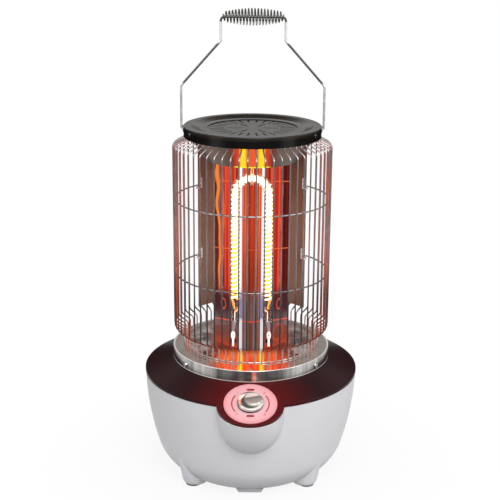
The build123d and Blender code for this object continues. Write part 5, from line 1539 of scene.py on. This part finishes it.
BAIL_ELBOW_Z = 520.0 * MM
BAIL_NECK_X = 40.6 * MM
BAIL_NECK_Z = 576.5 * MM
BAIL_END_X = 83.0 * MM
BAIL_END_BEND = 2.2 * MM
BAIL_BEND = 5 * MM
GRIP_LENGTH = 76.0 * MM
GRIP_END_R = 5.19
GRIP_SWELL = 5.0
GRIP_END_PINCH = 2.6 * MM
GRIP_WIRE_R = 0.8 * MM
GRIP_STEPS = 40


class HEATER_OT_handle(bpy.types.Operator):
    """Builds the handle's bail and its coiled grip"""

    bl_idname = "heater.handle"
    bl_label = "Handle"

    def execute(self, context):
        half = [
            (BAIL_END_X, PIVOT_Z), (BAIL_X, PIVOT_Z), (BAIL_X, BAIL_ELBOW_Z),
            (BAIL_NECK_X, BAIL_NECK_Z), (BAIL_NECK_X, GRIP_Z),
        ]
        corners = [(-x, z) for x, z in half] + [(x, z) for x, z in reversed(half)]
        radii = [0, BAIL_END_BEND, *[BAIL_BEND] * 6, BAIL_END_BEND, 0]
        path = rounded([(x, AXIS_Y, z) for x, z in corners], radii, steps=9)
        new_piece(
            "handle_bail_wire", *swept(path, BAIL_R, sides=20), "handle_chrome", body="handle",
            replaces=["handle_bail"],
        )
        turns = sizes().grip_turns
        coil = []
        for step in range(turns * GRIP_STEPS + 1):
            turn = step / GRIP_STEPS
            share = turn / turns
            swell = max(sin(pi * share), 0) ** 0.8
            radius = (GRIP_END_R + GRIP_SWELL * swell) * MM
            near_end = max(0, 1 - min(turn, turns - turn))
            radius -= GRIP_END_PINCH * near_end**2 * (3 - 2 * near_end)
            swing = tau * turn
            coil.append(
                Vector(
                    (
                        GRIP_LENGTH * (share - 0.5), AXIS_Y + radius * sin(swing),
                        GRIP_Z + radius * cos(swing),
                    )
                )
            )
        new_piece(
            "handle_grip_coil", *swept(coil, GRIP_WIRE_R, sides=12), "handle_chrome", body="handle",
            replaces=["handle_grip"],
        )
        return {"FINISHED"}


# Dial marks and knob

PRINT_Z = -0.14 * MM
PRINT_THICK = 0.05 * MM
MARK_ARC_R = 23.3 * MM
FIGURE_R = 25.0 * MM


def flat_mark(outline, lift, thick):
    """A thin raised print given by its outline on the dial's plane."""
    count = len(outline)
    verts = [dial_point(x, y, lift) for x, y in outline] + [
        dial_point(x, y, lift + thick)
        for x, y in outline
    ]
    faces = [tuple(reversed(range(count))), tuple(range(count, 2 * count))]
    for corner in range(count):
        after = (corner + 1) % count
        faces.append((corner, after, count + after, count + corner))
    return verts, faces


def polar(centre, radius, turns):
    """Points round a centre on the dial's plane."""
    return [(centre[0] + radius * cos(turn), centre[1] + radius * sin(turn)) for turn in turns]


def arc_mark(radius, width, start, end, steps=40):
    """Outline of a curved bar, angles from the right, in degrees."""
    turns = [radians(way) for way in evenly(start, end, steps)]
    outer = polar((0, 0), radius + width / 2, turns)
    return outer + polar((0, 0), radius - width / 2, turns[::-1])


def pill(centre, width, height, steps=10):
    """Outline of a bar with round ends."""
    x, y = centre
    end = height / 2
    right = polar((x + width / 2 - end, y), end, evenly(-pi / 2, pi / 2, steps))
    return right + polar((x - width / 2 + end, y), end, evenly(pi / 2, 3 * pi / 2, steps))


def figure(centre, bars):
    """Outlines of a small figure made of bars, named as on a seven-bar display."""
    wide, tall, line = 1.1 * MM, 1.7 * MM, 0.30 * MM
    places = {
        "a": (0, tall, wide, line), "g": (0, 0, wide, line), "d": (0, -tall, wide, line),
        "b": (wide, tall / 2, line, tall / 2), "c": (wide, -tall / 2, line, tall / 2),
        "f": (-wide, tall / 2, line, tall / 2), "e": (-wide, -tall / 2, line, tall / 2),
    }
    outlines = []
    for bar in bars:
        x, y, half_x, half_y = places[bar]
        x, y = centre[0] + x, centre[1] + y
        corners = ((-1, -1), (1, -1), (1, 1), (-1, 1))
        outlines.append([(x + across * half_x, y + up * half_y) for across, up in corners])
    return outlines


class HEATER_OT_dial(bpy.types.Operator):
    """Prints the dial's marks on its plate"""

    bl_idname = "heater.dial"
    bl_label = "Dial marks"

    def execute(self, context):
        outlines = [arc_mark(MARK_ARC_R, 1.6 * MM, way - 36, way + 36) for way in (0, 180)]
        outlines += [pill((0, height), 10 * MM, 3.6 * MM) for height in (23.7 * MM, -21.0 * MM)]
        self.printed("dial_marks", outlines)
        outlines = []
        for way, bars in ((134, "bc"), (46, "abged"), (314, "abgcd"), (226, "fgbc")):
            spot = (FIGURE_R * cos(radians(way)), FIGURE_R * sin(radians(way)))
            outlines += figure(spot, bars)
        self.printed("dial_figures", outlines)
        return {"FINISHED"}

    def printed(self, name, outlines):
        """One print of the dial, made of flat marks."""
        parts = [flat_mark(outline, PRINT_Z, PRINT_THICK) for outline in outlines]
        new_piece(name, *joined(parts), "dial_print", smooth=False, finish=name + "_print")


KNOB_R = 16.6 * MM
KNOB_FOOT = 0.65 * MM
KNOB_GROOVE = 2.2 * MM
LIP_AT = 14.1 * MM
LIP_HALF = 2.5 * MM
LIP_HEIGHT = 2.4 * MM
TOP_AT = (3.3 * MM, 2.3 * MM)
TOP_R = 11.2 * MM
TOP_FLAT_R = 9.4 * MM
TOP_HEIGHT = 3.4 * MM
TOP_DISH = 0.5 * MM
BEAK_HEIGHT = 3.0 * MM


def knob_height(across, up):
    """Height of the knob's top over its foot: a wound lip, an offset plateau and a beak."""
    reach = hypot(across, up)
    way = degrees(atan2(up, across))
    off = abs(reach - LIP_AT) / LIP_HALF
    lip = sqrt(max(0.0, 1 - off * off)) * LIP_HEIGHT
    notch = max(0.0, 1 - abs(way + 13.0) / 6.0)
    height = KNOB_GROOVE + lip * (1 - min(1.0, notch * 1.6))
    away = hypot(across - TOP_AT[0], up - TOP_AT[1])
    if away < TOP_R:
        edge = max(0.0, away - TOP_FLAT_R) / (TOP_R - TOP_FLAT_R)
        crown = TOP_HEIGHT * sqrt(max(0.0, 1 - edge * edge)) - TOP_DISH * (1 - away / TOP_R)
        height = max(height, KNOB_GROOVE + crown)
    if -7.0 < way < 10.0 and reach < 16.2 * MM and across > 9 * MM:
        ridge = sqrt(max(0.0, 1 - ((way - 1.5) / 8.5) ** 2))
        fade = min(1.0, (16.4 * MM - reach) / (1.2 * MM))
        height = max(height, KNOB_GROOVE + BEAK_HEIGHT * ridge * fade)
    return height


class HEATER_OT_knob(bpy.types.Operator):
    """Builds the round knob with its wound lip and offset top"""

    bl_idname = "heater.knob"
    bl_label = "Knob"

    def execute(self, context):
        rings = 46
        steps = 180
        verts = [dial_point(0, 0, KNOB_FOOT + knob_height(0, 0))]
        for ring in range(1, rings + 1):
            reach = KNOB_R * ring / rings
            for turn in whole_turn(steps):
                across, up = reach * cos(turn), reach * sin(turn)
                verts.append(dial_point(across, up, KNOB_FOOT + knob_height(across, up)))
        for turn in whole_turn(steps):
            verts.append(dial_point(KNOB_R * cos(turn), KNOB_R * sin(turn), KNOB_FOOT))
        faces = []
        for step in range(steps):
            after = (step + 1) % steps
            faces.append((0, 1 + step, 1 + after))
            for ring in range(rings):
                here = 1 + ring * steps
                faces.append((here + step, here + steps + step, here + steps + after, here + after))
        last = 1 + rings * steps
        faces.append(tuple(range(last, last + steps)))
        new_piece(
            "knob_wound_top", verts, faces, "knob_metal", body="knob", replaces=["knob"],
            sharp=radians(55),
        )
        return {"FINISHED"}


# Stage, lights and camera


FLOOR_HALF = 40
LAMP_LIGHT = (1.0, 0.22, 0.03)


class HEATER_OT_stage(bpy.types.Operator):
    """Sets the floor, the white surround, the lights and the camera"""

    bl_idname = "heater.stage"
    bl_label = "Stage, lights and camera"

    def execute(self, context):
        scene = context.scene
        scene.view_settings.view_transform = "Standard"
        self.surround(scene)
        self.floor()
        self.flags()
        self.lights()
        self.camera(scene)
        return {"FINISHED"}

    def surround(self, scene):
        """White as seen, in metal and through glass, softer as light."""
        world = bpy.data.worlds.new("surround")
        scene.world = world
        world.use_nodes = True
        nodes = Nodes(world.node_tree)
        back = world.node_tree.nodes["Background"]
        back.inputs["Color"].default_value = (1, 1, 1, 1)
        nodes.give(back.inputs["Strength"], nodes.spread(nodes.seen(), 0.31, 1.0))

    def floor(self):
        """A white floor that keeps the object's shadow and runs out into the white surround."""
        corners = ((-1, -1), (1, -1), (1, 1), (-1, 1))
        verts = [(FLOOR_HALF * across, FLOOR_HALF * along, 0) for across, along in corners]
        mesh = bpy.data.meshes.new("floor")
        mesh.from_pydata(verts, [], [(0, 1, 2, 3)])
        plane = put("floor", mesh)
        f = Finish("floor_white", roughness=0.9, specular=0.0)
        f.feed(
            "Base Color", f.ramp(f.noise(f.where, 2.0), [(0.0, (0.70,) * 3), (1.0, (0.73,) * 3)])
        )
        far = f.eased(f.away(f.where, (0, AXIS_Y, 0)), 0.10, 0.34, 0.90)
        mix = f.node("ShaderNodeMixShader", i0=f.times(far, f.seen()))
        f.give(mix.inputs[1], f.shader.outputs[0])
        f.give(mix.inputs[2], f.node("ShaderNodeEmission").outputs[0])
        f.give(f.tree.nodes["Material Output"].inputs["Surface"], mix.outputs[0])
        mesh.materials.append(f.made)

    def flags(self):
        """Dark cards round the sides that only metal and gloss show."""
        tones = []
        for name, level in (("flag_black", 0.012), ("flag_grey", 0.16)):
            f = Finish(name, roughness=1.0, specular=0.0)
            stops = [(0.0, (level,) * 3), (1.0, (level * 1.5,) * 3)]
            f.feed("Base Color", f.ramp(f.noise(f.where, 3.0), stops))
            tones.append(f.made)
        black, grey = tones
        low_side, tall_side = ((0.62, 0.22), (0.62, 0.52)), ((0.62, 0.01), (0.62, 0.44))
        cards = (
            (-46, 46, (0.42, 0.004), (0.62, 0.22), grey),
            (-24, 24, (0.62, 0.22), (0.62, 0.42), black), (94, 160, *tall_side, black),
            (-160, -94, *tall_side, black), (24, 48, *low_side, black),
            (-48, -24, *low_side, black), (68, 94, *low_side, black), (-94, -68, *low_side, black),
            (128, 232, (0.95, 0.95), (0.30, 1.35), black),
            (110, 250, (0.95, 0.44), (0.95, 0.625), black),
        )
        for index, (start, end, foot, head, tone) in enumerate(cards):
            verts = []
            steps = 32
            for turn in map(radians, evenly(start, end, steps)):
                verts += [around(reach, turn, height) for reach, height in (foot, head)]
            faces = [(2 * i, 2 * i + 2, 2 * i + 3, 2 * i + 1) for i in range(steps)]
            mesh = bpy.data.meshes.new(f"flag_{index}")
            mesh.from_pydata(verts, [], faces)
            mesh.materials.append(tone)
            card = put(f"flag_{index}", mesh)
            card.visible_camera = False
            card.visible_diffuse = False
            card.visible_shadow = False
            card.visible_transmission = False

    def lights(self):
        """Broad panels high at the sides and over the top, and the lamp's own glow."""
        target = Vector((0, AXIS_Y, 0.3))
        for name, place_at, size, power in (
            ("panel_left", (-1.5, -1.1, 1.3), 1.2, 6.5),
            ("panel_front", (0.3, -1.5, 1.8), 1.0, 31),
            ("panel_right", (1.7, -0.7, 1.0), 1.0, 9),
            ("panel_top", (0, 0.2, 2.2), 1.6, 10),
        ):
            light = bpy.data.lights.new(name, "AREA")
            light.size = size
            light.energy = power
            lamp = put(name, light)
            lamp.location = place_at
            lamp.rotation_euler = (target - Vector(place_at)).to_track_quat("-Z", "Y").to_euler()
        watts = colours().lamp_watts
        middle_z = (LAMP_FOOT + LAMP_ARCH + LAMP_X) / 2
        arch_z = LAMP_ARCH + LAMP_X + LAMP_R
        strip = 8 * MM
        tall = 150 * MM
        for name, place_at, size_x, size_y, turn, share, cone in (
            (
                "glow_left", (-LAMP_X, LAMP_Y - 9 * MM, middle_z), strip, tall, (-pi / 2, 0, 0),
                0.20, 60,
            ),
            (
                "glow_right", (LAMP_X, LAMP_Y - 9 * MM, middle_z), strip, tall, (-pi / 2, 0, 0),
                0.20, 60,
            ),
            (
                "glow_side_left", (-LAMP_X - 9 * MM, LAMP_Y, middle_z), strip, tall,
                (pi / 2, 0, -pi / 2), 0.2, 100,
            ),
            (
                "glow_side_right", (LAMP_X + 9 * MM, LAMP_Y, middle_z), strip, tall,
                (pi / 2, 0, pi / 2), 0.2, 100,
            ),
            (
                "glow_up", (0, LAMP_Y - 12 * MM, arch_z - 6 * MM), 44 * MM, strip,
                (-pi * 0.82, 0, 0), 0.22, 140,
            ),
            ("glow_down", (0, LAMP_Y - 14 * MM, 0.232), 50 * MM, strip, (-0.35, 0, 0), 0.16, 70),
        ):
            light = bpy.data.lights.new(name, "AREA")
            light.shape = "RECTANGLE"
            light.size = size_x
            light.size_y = size_y
            light.color = LAMP_LIGHT
            light.energy = watts * share
            light.spread = radians(cone)
            lamp = put(name, light)
            lamp.location = place_at
            lamp.rotation_euler = turn
            lamp.visible_camera = False
            lamp.visible_transmission = False
            lamp.visible_glossy = False

    def camera(self, scene):
        """The camera fitted to the photograph's ellipses."""
        view = bpy.data.cameras.new("camera")
        view.sensor_width = 36.0
        view.lens = 82.83
        view.shift_x = -0.0032
        view.clip_start = 0.05
        eye = put("camera", view)
        eye.location = (0, AXIS_Y - 1.454, 0.73508)
        down = radians(16.53)
        eye.rotation_euler = (pi / 2 - down, 0, 0)
        eye.rotation_mode = "XYZ"
        eye.matrix_world = eye.matrix_basis @ Matrix.Rotation(radians(0.44), 4, "Z")
        scene.camera = eye


class HEATER_OT_finishes(bpy.types.Operator):
    """Gives every carried-over part its finish"""

    bl_idname = "heater.finishes"
    bl_label = "Finishes"

    def execute(self, context):
        for row in frame["record"]["subparts"]:
            part = frame["nodes"][row["node"]]
            finish = finish_for(
                "zinc_dark" if row["node"] == "cap_screws" else row["material_slot"]
            )
            if not part.data.materials:
                part.data.materials.append(finish)
            for index in range(len(part.data.materials)):
                part.data.materials[index] = finish
        return {"FINISHED"}


class HEATER_PT_panel(bpy.types.Panel):
    """The heater's pieces, sizes and colours"""

    bl_label = "Lamp Heater"
    bl_space_type = "VIEW_3D"
    bl_region_type = "UI"
    bl_category = "Lamp Heater"

    def draw(self, context):
        for settings in (context.scene.heater_sizes, context.scene.heater_colours):
            box = self.layout.box()
            for name in settings.__annotations__:
                box.prop(settings, name)
        for step in STEPS:
            self.layout.operator(step.bl_idname)


STEPS = (
    HEATER_OT_stage,
    HEATER_OT_finishes,
    HEATER_OT_base_shell,
    HEATER_OT_guard,
    HEATER_OT_lamp,
    HEATER_OT_lamp_tabs,
    HEATER_OT_ring_tabs,
    HEATER_OT_handle,
    HEATER_OT_dial,
    HEATER_OT_knob,
)
CLASSES = (HeaterSizes, HeaterColours, *STEPS, HEATER_PT_panel)


def register():
    for made in CLASSES:
        bpy.utils.register_class(made)
    bpy.types.Scene.heater_sizes = bpy.props.PointerProperty(type=HeaterSizes)
    bpy.types.Scene.heater_colours = bpy.props.PointerProperty(type=HeaterColours)


def unregister():
    del bpy.types.Scene.heater_colours
    del bpy.types.Scene.heater_sizes
    for made in reversed(CLASSES):
        bpy.utils.unregister_class(made)


def main():
    register()
    bpy.ops.heater.stage()
    bpy.ops.heater.finishes()
    bpy.ops.heater.base_shell()
    bpy.ops.heater.guard()
    bpy.ops.heater.lamp()
    bpy.ops.heater.lamp_tabs()
    bpy.ops.heater.ring_tabs()
    bpy.ops.heater.handle()
    bpy.ops.heater.dial()
    bpy.ops.heater.knob()


if __name__ == "__main__":
    main()
